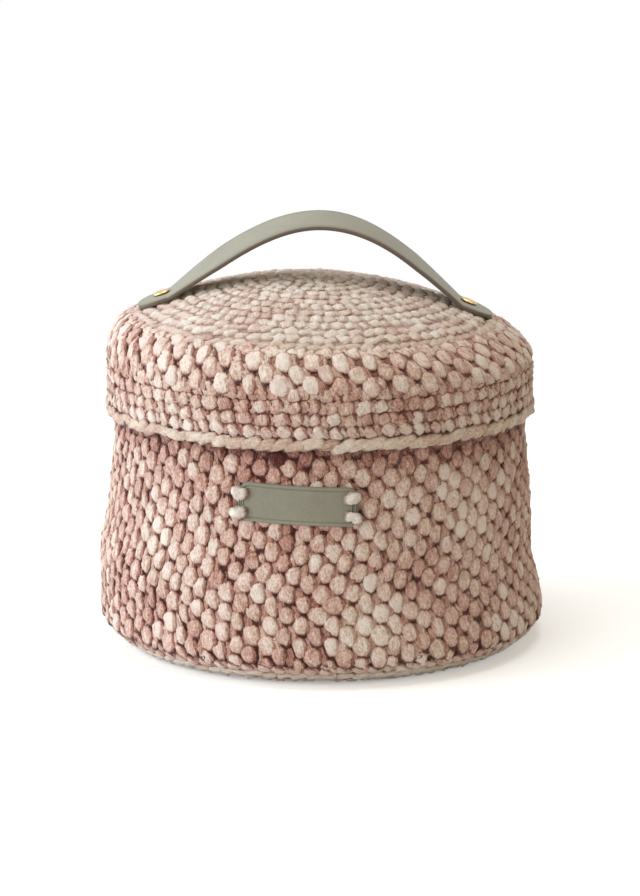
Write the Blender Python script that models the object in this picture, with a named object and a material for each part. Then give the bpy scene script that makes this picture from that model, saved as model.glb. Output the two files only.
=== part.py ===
"""Round crocheted knitting basket with a fitted lift-off lid, a leather strap and a leather label.

Metres, +Z up. The label faces -Y and the origin is on the floor under the middle of the base.
"""

import math

import bmesh
import bpy
from mathutils import Matrix, Vector

# Stitch counts. A flat disc grows by six stitches in each round, so 15 rounds carry 90 stitches.
ROUNDS = 15
GROWTH = 6
COLUMNS = ROUNDS * GROWTH
PUFFS = COLUMNS // 2
COLUMN_TURN = 2 * math.pi / COLUMNS

# Fits.
FLOOR_Z = 0
SEAT_GAP = 0.0003

# The wall, measured at the tips of the puffs.
BELLY_R = 0.1124
NECK_IN = 0.0129
NECK_R = BELLY_R - NECK_IN
NECK_Z = 0.150
TAPER_POWER = 1.15
FOOT_IN = 0.0155
FOOT_HIGH = 0.0155
FOOT_POWER = 1.5
WALL_TOP_Z = 0.117
WALL_THICK = 0.0085
PUFF_DEPTH = 0.0029
HALF_COURSE = 0.00485
PUFF_WIDE_SHARE = 0.62
LEAN_SHARE = 0.14
LINING_ROWS = 5
LINING_SIDES = 30

# The base and the braid round it.
FOOT_R = BELLY_R - FOOT_IN
BRAID_FOOT = 0.0016
BRAID_WIDE = 0.0058
BASE_R = FOOT_R - BRAID_WIDE
BASE_THICK = 0.0062
BASE_EDGE_CHAMFER = 0.001
BASE_RIDGE = 0.0012
BRAID_TOP_Z = 0.0060
BRAID_MID_Z = 0.0026
BRAID_RELIEF = 0.0012

# The collar inside the lid and its finishing braid.
COLLAR_HIGH = 0.028
COLLAR_TOP_Z = WALL_TOP_Z + COLLAR_HIGH
COLLAR_THICK = 0.0064
COLLAR_RIDGE = 0.0013
COLLAR_ROUNDS = 3
EDGE_IN = 0.0008
EDGE_WIDE = 0.0064
EDGE_HIGH = 0.0070
EDGE_OUT_R = NECK_R - EDGE_IN
EDGE_IN_R = EDGE_OUT_R - EDGE_WIDE
EDGE_RELIEF = 0.0007

# The lid, from its rim up.
LID_EASE = 0.0034
LID_IN_R = NECK_R + LID_EASE
RIM_HANG = 0.0005
RIM_HIGH = 0.0054
RIM_THICK = 0.0046
RIM_BOTTOM_Z = WALL_TOP_Z - RIM_HANG
RIM_TOP_Z = RIM_BOTTOM_Z + RIM_HIGH
RIM_R = LID_IN_R + RIM_THICK
RIM_RELIEF = 0.0012
SKIRT_HIGH = 0.0178
SKIRT_THICK = 0.0039
SKIRT_TOP_Z = RIM_TOP_Z + SKIRT_HIGH
SKIRT_R = LID_IN_R + SKIRT_THICK
SKIRT_ROWS = 3
SKIRT_RELIEF = 0.0015
SHOULDER_RADIUS = 0.0262
SHOULDER_CENTRE_R = SKIRT_R - SHOULDER_RADIUS
SHOULDER_CENTRE_Z = SKIRT_TOP_Z + SEAT_GAP
SHOULDER_TURN = math.radians(60)
SHOULDER_FIRST = 0.0013
SHOULDER_STEP = 0.0064
SHOULDER_ROWS = 4
FILLER_DROP = 0.0013
LID_WALL = 0.0038
LEDGE_Z = COLLAR_TOP_Z + EDGE_HIGH
LEDGE_OUT_IN = 0.0032
LEDGE_OUT_R = LID_IN_R - LEDGE_OUT_IN
LEDGE_OVER = 0.0005
LEDGE_IN_R = EDGE_IN_R - LEDGE_OVER
CROWN_R = SHOULDER_CENTRE_R + SHOULDER_RADIUS * math.cos(SHOULDER_TURN)
CROWN_Z = SHOULDER_CENTRE_Z + SHOULDER_RADIUS * math.sin(SHOULDER_TURN)
CROWN_RISE = 0.0215
CROWN_THICK = 0.0070
CROWN_RELIEF = 0.0021
CROWN_EDGE_DROP = 0.0018
CROWN_LINING_ROWS = 5

# The rivets.
RIVET_IN = 0.0177
RIVET_X = CROWN_R - RIVET_IN
RIVET_HEAD_R = 0.0046
RIVET_HEAD_HIGH = 0.0024
RIVET_RIM_HIGH = 0.0006
RIVET_POST_R = 0.0016
RIVET_BACK_R = 0.0050
RIVET_BACK_THICK = 0.0016
RIVET_SOCKET = 0.0007
RIVET_SIDES = 12
RIVET_SEAT_SHARE = 1.2

# The leather strap.
STRAP_PAST_RIVET = 0.0125
STRAP_HALF = RIVET_X + STRAP_PAST_RIVET
STRAP_WIDTH = 0.0290
STRAP_THICK = 0.0022
STRAP_EDGE = 0.0006
STRAP_END_RADIUS = 0.0105
STRAP_FREE_IN = 0.0015
STRAP_FLAT_FROM = RIVET_X - STRAP_FREE_IN
STRAP_BEND_SHARE = 0.84
STRAP_BEND_TO = STRAP_FLAT_FROM * STRAP_BEND_SHARE
STRAP_SLOPE_SHARE = 0.80
STRAP_SWAY = 0.0050
STRAP_LEAN = math.radians(13.5)
STRAP_STATIONS = 32
STRAP_END_STATIONS = 3
STRAP_STEPS = 400

# The label and its stitches.
LABEL_HALF = 0.0288
LABEL_HALF_HIGH = 0.0093
LABEL_THICK = 0.0013
LABEL_CORNER = 0.0045
LABEL_CORNER_STEPS = 3
LABEL_LONG_STEPS = 8
LABEL_GROOVE_IN = 0.0018
LABEL_GROOVE_HALF = 0.0005
LABEL_GROOVE_DEEP = 0.0004
LABEL_BELOW_TOP = 0.0274
LABEL_Z = WALL_TOP_Z - LABEL_BELOW_TOP
LABEL_TURN = math.radians(-96.4)
LABEL_TILT = math.radians(-2.0)
TAG_STITCH_IN = 0.0040
TAG_STITCH_FROM = LABEL_HALF - TAG_STITCH_IN
TAG_STITCH_LONG = 0.0082
TAG_STITCH_HALF_WIDE = 0.0020
TAG_STITCH_HALF_HIGH = 0.0013
TAG_STITCH_DIP = 0.0016
TAG_STITCH_APART = 0.0044
TAG_STITCH_STATIONS = 5
TAG_STITCH_SIDES = 6

YARN = (0.62, 0.36, 0.30)
YARN_DEEP = (0.52, 0.29, 0.25)
YARN_LIGHT = (0.70, 0.46, 0.40)
YARN_PALE = (0.76, 0.58, 0.53)
STRAP_LEATHER = (0.34, 0.33, 0.28)
LABEL_LEATHER = (0.29, 0.28, 0.22)
BRASS = (0.80, 0.58, 0.27)


def wall_radius(z):
    """Radius of the puff tips at height z."""
    if z < FOOT_HIGH:
        share = ((FOOT_HIGH - z) / FOOT_HIGH) ** FOOT_POWER
        return BELLY_R - FOOT_IN * (1 - (1 - share) ** (1 / FOOT_POWER))
    share = (z - FOOT_HIGH) / (NECK_Z - FOOT_HIGH)
    return NECK_R + (BELLY_R - NECK_R) * (1 - share) ** TAPER_POWER


def crown_height(r):
    """Height of the ridges of the crown at radius r."""
    return CROWN_Z + CROWN_RISE * (1 - (r / CROWN_R) ** 2)


def circle(count, r, z, turn=0):
    """A plain closed ring of (angle, radius, height)."""
    return [(turn + 2 * math.pi * i / count, r, z) for i in range(count)]


def wave(count, r, z, relief, turn=0):
    """A closed ring whose points stand out and lie back in turn."""
    return [(turn + 2 * math.pi * i / count, r - relief * (i % 2), z) for i in range(count)]


def puff_row(row, tip, dip):
    """A ring of puff tips with a pair of crease points between each two tips.

    Rows are staggered by one column, and each row is turned a little further round.
    """
    start = (row * LEAN_SHARE + row % 2) * COLUMN_TURN
    ring = []
    for i in range(PUFFS):
        centre = start + 2 * i * COLUMN_TURN
        ring.append((centre, *tip))
        ring.append((centre + PUFF_WIDE_SHARE * COLUMN_TURN, *dip))
        ring.append((centre + (2 - PUFF_WIDE_SHARE) * COLUMN_TURN, *dip))
    return ring


def join_rings(bm, low, high):
    """Fill the strip between two closed rings of (angle, vertex) with triangles."""
    if len(low) == 1 or len(high) == 1:
        pole, ring = (low[0][1], high) if len(low) == 1 else (high[0][1], low)
        for i, (_, vert) in enumerate(ring):
            bm.faces.new((vert, ring[(i + 1) % len(ring)][1], pole))
        return
    full = 2 * math.pi
    first = low[0][0]
    offsets = [(angle - first + math.pi) % full - math.pi for angle, _ in high]
    start = min(range(len(high)), key=lambda i: abs(offsets[i]))
    high = high[start:] + high[:start]
    low_turns = [(angle - first) % full for angle, _ in low] + [full]
    high_first = offsets[start]
    high_turns = [high_first + (angle - high[0][0]) % full for angle, _ in high]
    high_turns.append(high_first + full)
    i = j = 0
    while i < len(low) or j < len(high):
        a, b = low[i % len(low)][1], high[j % len(high)][1]
        if i < len(low) and (j == len(high) or low_turns[i + 1] <= high_turns[j + 1]):
            i += 1
            bm.faces.new((a, low[i % len(low)][1], b))
        else:
            j += 1
            bm.faces.new((a, high[j % len(high)][1], b))


def make_material(name, colour, roughness, metallic=0):
    """A plain Principled material."""
    mat = bpy.data.materials.new(name)
    mat.use_nodes = True
    shader = mat.node_tree.nodes["Principled BSDF"]
    shader.inputs["Base Color"].default_value = (*colour, 1)
    shader.inputs["Roughness"].default_value = roughness
    shader.inputs["Metallic"].default_value = metallic
    mat.diffuse_color = (*colour, 1)
    return mat


def add_object(name, bm, mat, smooth=True):
    """Turn a bmesh into a named object with outward faces."""
    bmesh.ops.recalc_face_normals(bm, faces=bm.faces)
    mesh = bpy.data.meshes.new(name)
    bm.to_mesh(mesh)
    bm.free()
    for face in mesh.polygons:
        face.use_smooth = smooth
    mesh.materials.append(mat)
    obj = bpy.data.objects.new(name, mesh)
    bpy.context.scene.collection.objects.link(obj)
    return obj


def ring_solid(name, rings, mat, closed=True):
    """A solid of revolution-like rings. A closed one joins its last ring to its first."""
    bm = bmesh.new()
    made = []
    for ring in rings:
        made.append(
            [(a, bm.verts.new((r * math.cos(a), r * math.sin(a), z))) for a, r, z in ring]
        )
    pairs = list(zip(made, made[1:]))
    if closed:
        pairs.append((made[-1], made[0]))
    for low, high in pairs:
        join_rings(bm, low, high)
    return add_object(name, bm, mat)


def lining(bottom_z, top_z, thick, rows, sides, relief=0):
    """The inner rings of a wall, from the top down."""
    rings = []
    for i in range(rows):
        z = top_z + (bottom_z - top_z) * i / (rows - 1)
        rings.append(circle(sides, wall_radius(z) - thick - relief * (i % 2), z))
    return rings


def make_base(mat):
    """The flat crocheted disc: a flat underside and 15 raised rounds inside."""
    rings = [
        [(0, 0, FLOOR_Z)],
        circle(PUFFS, BASE_R - BASE_EDGE_CHAMFER, FLOOR_Z),
        circle(PUFFS, BASE_R, BASE_EDGE_CHAMFER),
        circle(PUFFS, BASE_R, BASE_THICK - BASE_RIDGE),
    ]
    width = BASE_R / ROUNDS
    for n in range(ROUNDS, 0, -1):
        sides = GROWTH + n // 2
        rings.append(circle(sides, width * n - width / 2, BASE_THICK))
        if n > 1:
            rings.append(circle(sides, width * (n - 1), BASE_THICK - BASE_RIDGE))
    rings.append([(0, 0, BASE_THICK - BASE_RIDGE)])
    return ring_solid("base_disc", rings, mat, closed=False)


def make_base_braid(mat):
    """The chain braid round the bottom edge, with its links staggered above and below."""
    inner = BASE_R + SEAT_GAP
    mid = wall_radius(BRAID_MID_Z) + BRAID_RELIEF
    top = wall_radius(BRAID_TOP_Z)
    rings = [
        circle(PUFFS, inner, FLOOR_Z + BASE_EDGE_CHAMFER),
        circle(PUFFS, inner + BASE_EDGE_CHAMFER, FLOOR_Z),
        circle(PUFFS, FOOT_R + BRAID_FOOT, FLOOR_Z),
        wave(COLUMNS, mid, BRAID_MID_Z, BRAID_RELIEF),
        wave(COLUMNS, top, BRAID_TOP_Z - BRAID_RELIEF, BRAID_RELIEF, COLUMN_TURN),
        circle(PUFFS, top - BRAID_RELIEF * 2, BRAID_TOP_Z),
        circle(LINING_SIDES, inner + BRAID_RELIEF, BRAID_TOP_Z),
    ]
    return ring_solid("base_braid", rings, mat)


def make_wall(mat):
    """The wall of staggered puffs with a plain lining."""
    low_z = BRAID_TOP_Z + SEAT_GAP
    rows = int((WALL_TOP_Z - low_z) / HALF_COURSE)
    step = (WALL_TOP_Z - low_z) / rows
    rings = [circle(COLUMNS, wall_radius(low_z) - PUFF_DEPTH, low_z)]
    for row in range(rows - 1):
        z = low_z + step * (row + 1)
        tip = wall_radius(z)
        rings.append(puff_row(row, (tip, z), (tip - PUFF_DEPTH, z)))
    rings.append(circle(COLUMNS, wall_radius(WALL_TOP_Z) - PUFF_DEPTH, WALL_TOP_Z))
    rings += lining(low_z, WALL_TOP_Z, WALL_THICK, LINING_ROWS, LINING_SIDES)
    return ring_solid("wall", rings, mat)


def make_collar(mat):
    """The plain rounds that the lid slips over."""
    low_z = WALL_TOP_Z + SEAT_GAP
    step = (COLLAR_TOP_Z - low_z) / COLLAR_ROUNDS
    rings = []
    for i in range(2 * COLLAR_ROUNDS + 1):
        z = low_z + step * i / 2
        relief = COLLAR_RIDGE * ((i + 1) % 2)
        rings.append(circle(LINING_SIDES, wall_radius(z) - relief, z))
    rings += lining(low_z, COLLAR_TOP_Z, COLLAR_THICK, COLLAR_ROUNDS - 1, LINING_SIDES)
    return ring_solid("collar", rings, mat)


def make_collar_edge(mat):
    """The finishing braid on the collar. The lid's ledge comes to rest on its flat top."""
    low_z = COLLAR_TOP_Z + SEAT_GAP
    top_z = LEDGE_Z - SEAT_GAP
    mid_z = (low_z + top_z) / 2
    rings = [
        circle(LINING_SIDES, EDGE_OUT_R - EDGE_RELIEF, low_z),
        wave(COLUMNS, EDGE_OUT_R, mid_z, EDGE_RELIEF),
        circle(LINING_SIDES, EDGE_OUT_R - EDGE_RELIEF * 2, top_z),
        circle(LINING_SIDES, EDGE_IN_R + EDGE_RELIEF * 2, top_z),
        circle(LINING_SIDES, EDGE_IN_R, low_z),
    ]
    return ring_solid("collar_edge", rings, mat)


def make_lid_rim(mat):
    """The rope braid round the lower edge of the lid."""
    mid_z = (RIM_BOTTOM_Z + RIM_TOP_Z) / 2
    quarter = (RIM_TOP_Z - RIM_BOTTOM_Z) / 4
    rings = [
        circle(LINING_SIDES, LID_IN_R + RIM_RELIEF, RIM_BOTTOM_Z),
        circle(PUFFS, RIM_R - RIM_RELIEF * 2, RIM_BOTTOM_Z),
        wave(COLUMNS, RIM_R, mid_z - quarter, RIM_RELIEF),
        wave(COLUMNS, RIM_R, mid_z + quarter, RIM_RELIEF, COLUMN_TURN),
        circle(PUFFS, RIM_R - RIM_RELIEF * 2, RIM_TOP_Z),
        circle(LINING_SIDES, LID_IN_R, RIM_TOP_Z),
    ]
    return ring_solid("lid_rim_braid", rings, mat)


def make_skirt(mat):
    """Three rows of single crochet, 90 stitches each."""
    low_z = RIM_TOP_Z + SEAT_GAP
    step = (SKIRT_TOP_Z - low_z) / SKIRT_ROWS
    rings = []
    for i in range(2 * SKIRT_ROWS + 1):
        z = low_z + step * i / 2
        if i % 2:
            rings.append(wave(2 * COLUMNS, SKIRT_R, z, SKIRT_RELIEF, COLUMN_TURN * i / 4))
        else:
            rings.append(circle(PUFFS, SKIRT_R - SKIRT_RELIEF, z))
    rings.append(circle(LINING_SIDES, LID_IN_R, SKIRT_TOP_Z))
    rings.append(circle(LINING_SIDES, LID_IN_R, low_z))
    return ring_solid("lid_skirt", rings, mat)


def shoulder_point(arc, depth):
    """Radius and height at an arc length up the shoulder, that deep under its surface."""
    turn = arc / SHOULDER_RADIUS
    reach = SHOULDER_RADIUS - depth
    return (
        SHOULDER_CENTRE_R + reach * math.cos(turn),
        SHOULDER_CENTRE_Z + reach * math.sin(turn),
    )


def make_shoulder(mat):
    """Three staggered rows of large puffs, with small stitches filling in below them."""
    end_arc = SHOULDER_RADIUS * SHOULDER_TURN
    low_r, low_z = shoulder_point(0, PUFF_DEPTH)
    rings = [circle(COLUMNS, low_r, low_z)]
    for row in range(SHOULDER_ROWS):
        arc = SHOULDER_FIRST + SHOULDER_STEP * row
        filler = FILLER_DROP if row == 0 else 0
        tip = shoulder_point(arc, filler)
        rings.append(puff_row(row, tip, shoulder_point(arc, PUFF_DEPTH)))
    end_r, end_z = shoulder_point(end_arc, CROWN_EDGE_DROP)
    rings.append(circle(COLUMNS, end_r, end_z))
    rings.append(circle(PUFFS, LEDGE_IN_R, LEDGE_Z))
    rings.append(circle(LINING_SIDES, LEDGE_OUT_R, LEDGE_Z))
    rings.append(circle(LINING_SIDES, LID_IN_R, LEDGE_Z - LID_WALL))
    rings.append(circle(LINING_SIDES, LID_IN_R, low_z))
    return ring_solid("lid_shoulder", rings, mat)


def make_crown(mat):
    """The domed crown: 15 raised rounds on top, a plain dome inside."""
    edge_r = shoulder_point(SHOULDER_RADIUS * SHOULDER_TURN, CROWN_EDGE_DROP)[0] - SEAT_GAP * 2
    width = edge_r / ROUNDS
    rings = [[(0, 0, crown_height(0) - CROWN_RELIEF)]]
    for n in range(1, ROUNDS + 1):
        r = width * n - width / 2
        rings.append(circle(GROWTH * n, r, crown_height(r), COLUMN_TURN * n))
        r = width * n
        sides = COLUMNS if n == ROUNDS else max(GROWTH // 2, GROWTH * n // 3)
        rings.append(circle(sides, r, crown_height(r) - CROWN_RELIEF))
    under_r = LEDGE_IN_R - SEAT_GAP * 2
    rings.append(circle(PUFFS, under_r, LEDGE_Z + SEAT_GAP))
    # Two full rings carry the flat seats of the rivets' back plates.
    seat_out = RIVET_X + RIVET_BACK_R * RIVET_SEAT_SHARE
    seat_in = RIVET_X - RIVET_BACK_R * RIVET_SEAT_SHARE
    for r in (seat_out, seat_in):
        rings.append(circle(PUFFS, r, crown_height(r) - CROWN_THICK))
    for n in range(CROWN_LINING_ROWS - 1, 0, -1):
        r = seat_in * n / CROWN_LINING_ROWS
        sides = PUFFS * n // CROWN_LINING_ROWS
        rings.append(circle(sides, r, crown_height(r) - CROWN_THICK))
    rings.append([(0, 0, crown_height(0) - CROWN_THICK)])
    return ring_solid("lid_crown", rings, mat, closed=False)


def strap_centre_heights():
    """Height of the strap's middle layer, from the flat ends up to the top of the arch."""
    seat = SEAT_GAP + STRAP_THICK / 2
    flat_slope = 2 * CROWN_RISE * STRAP_FLAT_FROM / CROWN_R**2
    step = STRAP_FLAT_FROM / STRAP_STEPS
    heights = {}
    z = crown_height(STRAP_FLAT_FROM) + seat / math.cos(math.atan(flat_slope))
    for i in range(STRAP_STEPS, -1, -1):
        heights[i] = z
        x = step * (i - 1 / 2)
        if x < STRAP_BEND_TO:
            slope = STRAP_SLOPE_SHARE * math.sin(math.pi / 2 * x / STRAP_BEND_TO)
        else:
            share = (x - STRAP_BEND_TO) / (STRAP_FLAT_FROM - STRAP_BEND_TO)
            ease = (1 - math.cos(math.pi * share)) / 2
            slope = STRAP_SLOPE_SHARE + (flat_slope - STRAP_SLOPE_SHARE) * ease
        z += slope * step
    return heights, step, seat, flat_slope


def strap_stations():
    """Centre, width direction and width of each section of the strap, from left to right."""
    heights, step, seat, flat_slope = strap_centre_heights()
    base_z, top_z = heights[STRAP_STEPS], heights[0]

    def centre(x):
        far = abs(x)
        if far > STRAP_FLAT_FROM:
            z = crown_height(far) + seat / math.cos(math.atan(flat_slope))
            return Vector((x, 0, z)), 0
        place = far / step
        i = min(int(place), STRAP_STEPS - 1)
        z = heights[i] + (heights[i + 1] - heights[i]) * (place - i)
        share = (z - base_z) / (top_z - base_z)
        sway = STRAP_SWAY * share
        return Vector((x - sway, -math.tan(STRAP_LEAN) * (z - base_z), z)), share

    inner = STRAP_HALF - STRAP_END_RADIUS
    xs = [-inner + 2 * inner * i / STRAP_STATIONS for i in range(STRAP_STATIONS + 1)]
    for i in range(1, STRAP_END_STATIONS + 1):
        reach = inner + STRAP_END_RADIUS * math.sin(math.pi / 2 * i / STRAP_END_STATIONS)
        xs = [-reach] + xs + [reach]
    stations = []
    for x in xs:
        mid, share = centre(x)
        ahead, behind = centre(x + step)[0], centre(x - step)[0]
        along = (ahead - behind).normalized()
        lean = STRAP_LEAN * min(1, share * 2)
        across = Vector((0, math.cos(lean), math.sin(lean)))
        across = (across - along * across.dot(along)).normalized()
        half = STRAP_WIDTH / 2
        over = abs(x) - inner
        if over > 0:
            bend = min(1, over / STRAP_END_RADIUS)
            half -= STRAP_END_RADIUS * (1 - math.sqrt(1 - bend * bend))
        stations.append((mid, along, across, half))
    return stations


def make_strap(mat):
    """The leather strap: one band with rounded ends and softened edges."""
    bm = bmesh.new()
    half_thick = STRAP_THICK / 2
    loops = []
    for mid, along, across, half in strap_stations():
        up = along.cross(across).normalized()
        if up.z < 0:
            up = -up
        corners = (
            (half, half_thick - STRAP_EDGE),
            (half - STRAP_EDGE, half_thick),
            (-half + STRAP_EDGE, half_thick),
            (-half, half_thick - STRAP_EDGE),
            (-half, -half_thick + STRAP_EDGE),
            (-half + STRAP_EDGE, -half_thick),
            (half - STRAP_EDGE, -half_thick),
            (half, -half_thick + STRAP_EDGE),
        )
        loops.append([bm.verts.new(mid + across * w + up * h) for w, h in corners])
    for low, high in zip(loops, loops[1:]):
        for i in range(len(low)):
            j = (i + 1) % len(low)
            bm.faces.new((low[i], low[j], high[j], high[i]))
    bm.faces.new(loops[0])
    bm.faces.new(reversed(loops[-1]))
    return add_object("handle_strap", bm, mat, smooth=False)


def rivet_frame(side):
    """The frame of a rivet: its origin on the crown and its +Z along the rivet, outwards."""
    slope = 2 * CROWN_RISE * RIVET_X / CROWN_R**2
    turn = Matrix.Rotation(side * math.atan(slope), 4, "Y")
    return Matrix.Translation((side * RIVET_X, 0, crown_height(RIVET_X))) @ turn


def turned(name, profile, frame, mat):
    """A turned piece from a profile of (radius, height) that starts and ends on its axis."""
    bm = bmesh.new()
    rings = []
    for r, h in profile:
        if r == 0:
            rings.append([bm.verts.new(frame @ Vector((0, 0, h)))])
            continue
        ring = []
        for i in range(RIVET_SIDES):
            a = 2 * math.pi * i / RIVET_SIDES
            ring.append(bm.verts.new(frame @ Vector((r * math.cos(a), r * math.sin(a), h))))
        rings.append(ring)
    for low, high in zip(rings, rings[1:]):
        for i in range(RIVET_SIDES):
            j = (i + 1) % RIVET_SIDES
            if len(low) == 1:
                bm.faces.new((low[0], high[j], high[i]))
            elif len(high) == 1:
                bm.faces.new((low[i], low[j], high[0]))
            else:
                bm.faces.new((low[i], low[j], high[j], high[i]))
    return add_object(name, bm, mat)


def rivet_levels():
    """Heights along a rivet: under the cap, and where the back's face lies."""
    under_cap = SEAT_GAP * 2 + STRAP_THICK
    slope = 2 * CROWN_RISE * RIVET_X / CROWN_R**2
    back_face = -CROWN_THICK * math.cos(math.atan(slope)) - SEAT_GAP * 2
    return under_cap, back_face


def make_rivet(side, word, mat):
    """A domed cap with its post, and the back that the post ends in."""
    frame = rivet_frame(side)
    under, back = rivet_levels()
    socket_floor = back - RIVET_SOCKET
    dome = [(0, under + RIVET_HEAD_HIGH)]
    for i in (1, 2, 3):
        a = math.pi / 2 * i / 3
        high = (RIVET_HEAD_HIGH - RIVET_RIM_HIGH) * math.cos(a)
        dome.append((RIVET_HEAD_R * math.sin(a), under + RIVET_RIM_HIGH + high))
    dome += [
        (RIVET_HEAD_R, under),
        (RIVET_POST_R, under),
        (RIVET_POST_R, socket_floor + SEAT_GAP),
        (0, socket_floor + SEAT_GAP),
    ]
    turned("rivet_cap_" + word, dome, frame, mat)
    low = back - RIVET_BACK_THICK
    plate = [
        (0, socket_floor),
        (RIVET_POST_R + SEAT_GAP, socket_floor),
        (RIVET_POST_R + SEAT_GAP, back),
        (RIVET_BACK_R, back),
        (RIVET_BACK_R, low + RIVET_RIM_HIGH),
        (RIVET_BACK_R - RIVET_RIM_HIGH, low),
        (0, low),
    ]
    turned("rivet_back_" + word, plate, frame, mat)


def cut_rivet_holes(obj):
    """Cut both rivet holes through a piece."""
    under, back = rivet_levels()
    reach = RIVET_BACK_R * 2
    for side in (-1, 1):
        bm = bmesh.new()
        bmesh.ops.create_cone(
            bm,
            cap_ends=True,
            segments=RIVET_SIDES,
            radius1=RIVET_POST_R + SEAT_GAP,
            radius2=RIVET_POST_R + SEAT_GAP,
            depth=under - back + reach,
        )
        bm.transform(rivet_frame(side) @ Matrix.Translation((0, 0, (under + back) / 2)))
        mesh = bpy.data.meshes.new("rivet_hole")
        bm.to_mesh(mesh)
        bm.free()
        cutter = bpy.data.objects.new("rivet_hole", mesh)
        bpy.context.scene.collection.objects.link(cutter)
        cutter.hide_render = True
        cutter.display_type = "WIRE"
        mod = obj.modifiers.new("hole", "BOOLEAN")
        mod.operation = "DIFFERENCE"
        mod.solver = "EXACT"
        mod.object = cutter


def label_place(u, v, depth):
    """A point of the label: u along it, v up it, depth out from the puff tips."""
    c, s = math.cos(LABEL_TILT), math.sin(LABEL_TILT)
    along, up = u * c - v * s, u * s + v * c
    z = LABEL_Z + up
    r = wall_radius(z) + SEAT_GAP + depth
    a = LABEL_TURN + along / wall_radius(LABEL_Z)
    return Vector((r * math.cos(a), r * math.sin(a), z))


def label_chain(inset):
    """Half of the label's outline at an inset: (u, v) from the left end to the right end."""
    half, high = LABEL_HALF - inset, LABEL_HALF_HIGH - inset
    corner = LABEL_CORNER - inset * (LABEL_CORNER / LABEL_HALF_HIGH)
    points = []
    for i in range(LABEL_CORNER_STEPS + 1):
        a = math.pi / 2 * i / LABEL_CORNER_STEPS
        points.append(
            (-half + corner * (1 - math.cos(a)), high - corner * (1 - math.sin(a)))
        )
    straight = half - corner
    for i in range(1, LABEL_LONG_STEPS):
        points.append((-straight + 2 * straight * i / LABEL_LONG_STEPS, high))
    points += [(-u, v) for u, v in reversed(points[: LABEL_CORNER_STEPS + 1])]
    return points


def make_label(mat):
    """The curved leather label with a pressed border line and a bare middle."""
    bm = bmesh.new()
    layers = (
        (0, 0),
        (0, LABEL_THICK - LABEL_GROOVE_DEEP),
        (LABEL_GROOVE_DEEP, LABEL_THICK),
        (LABEL_GROOVE_IN - LABEL_GROOVE_HALF, LABEL_THICK),
        (LABEL_GROOVE_IN, LABEL_THICK - LABEL_GROOVE_DEEP),
        (LABEL_GROOVE_IN + LABEL_GROOVE_HALF, LABEL_THICK),
    )
    loops = []
    for inset, depth in layers:
        chain = label_chain(inset)
        upper = [bm.verts.new(label_place(u, v, depth)) for u, v in chain]
        lower = [bm.verts.new(label_place(u, -v, depth)) for u, v in chain]
        loops.append((upper, lower))
    for (upper_a, lower_a), (upper_b, lower_b) in zip(loops, loops[1:]):
        low = upper_a + lower_a[::-1]
        high = upper_b + lower_b[::-1]
        for i in range(len(low)):
            j = (i + 1) % len(low)
            bm.faces.new((low[i], low[j], high[j], high[i]))
    for upper, lower in (loops[0], loops[-1]):
        for i in range(len(upper) - 1):
            bm.faces.new((upper[i], upper[i + 1], lower[i + 1], lower[i]))
    return add_object("label_tag", bm, mat, smooth=False)


def make_tag_stitch(number, side, v, mat):
    """A yarn stitch from a hole in the label, over its short edge, down to the wall."""
    bm = bmesh.new()
    top = LABEL_THICK + SEAT_GAP + TAG_STITCH_HALF_HIGH
    rings = []
    for i in range(TAG_STITCH_STATIONS + 1):
        share = i / TAG_STITCH_STATIONS
        u = TAG_STITCH_FROM + TAG_STITCH_LONG * share
        drop = TAG_STITCH_DIP * max(0, share * 2 - 1) ** 2
        swell = math.sqrt(max(0, 1 - (2 * share - 1) ** 2)) ** (1 / 2)
        if i in (0, TAG_STITCH_STATIONS):
            rings.append([bm.verts.new(label_place(side * u, v, top - drop))])
            continue
        ring = []
        for k in range(TAG_STITCH_SIDES):
            a = 2 * math.pi * k / TAG_STITCH_SIDES
            wide = TAG_STITCH_HALF_WIDE * swell * math.cos(a)
            high = TAG_STITCH_HALF_HIGH * swell * math.sin(a)
            ring.append(bm.verts.new(label_place(side * u, v + wide, top - drop + high)))
        rings.append(ring)
    for low, high in zip(rings, rings[1:]):
        for i in range(TAG_STITCH_SIDES):
            j = (i + 1) % TAG_STITCH_SIDES
            if len(low) == 1:
                bm.faces.new((low[0], high[i], high[j]))
            elif len(high) == 1:
                bm.faces.new((low[i], low[j], high[0]))
            else:
                bm.faces.new((low[i], low[j], high[j], high[i]))
    return add_object(f"label_stitch_{number}", bm, mat)


def build():
    """Build every piece in an empty scene."""
    for obj in list(bpy.data.objects):
        bpy.data.objects.remove(obj, do_unlink=True)
    yarn = make_material("yarn", YARN, 0.95)
    yarn_deep = make_material("yarn_deep", YARN_DEEP, 0.95)
    yarn_light = make_material("yarn_light", YARN_LIGHT, 0.95)
    yarn_pale = make_material("yarn_pale", YARN_PALE, 0.9)
    strap_leather = make_material("strap_leather", STRAP_LEATHER, 0.55)
    label_leather = make_material("label_leather", LABEL_LEATHER, 0.5)
    brass = make_material("brass", BRASS, 0.3, 1)

    make_base(yarn_deep)
    make_base_braid(yarn_deep)
    make_wall(yarn)
    make_collar(yarn)
    make_collar_edge(yarn_light)
    make_lid_rim(yarn_light)
    make_skirt(yarn)
    make_shoulder(yarn)
    cut_rivet_holes(make_crown(yarn))
    cut_rivet_holes(make_strap(strap_leather))
    make_rivet(-1, "left", brass)
    make_rivet(1, "right", brass)
    make_label(label_leather)
    number = 1
    for side in (-1, 1):
        for v in (TAG_STITCH_APART, -TAG_STITCH_APART):
            make_tag_stitch(number, side, v, yarn_pale)
            number += 1


build()
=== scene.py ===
import math

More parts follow.
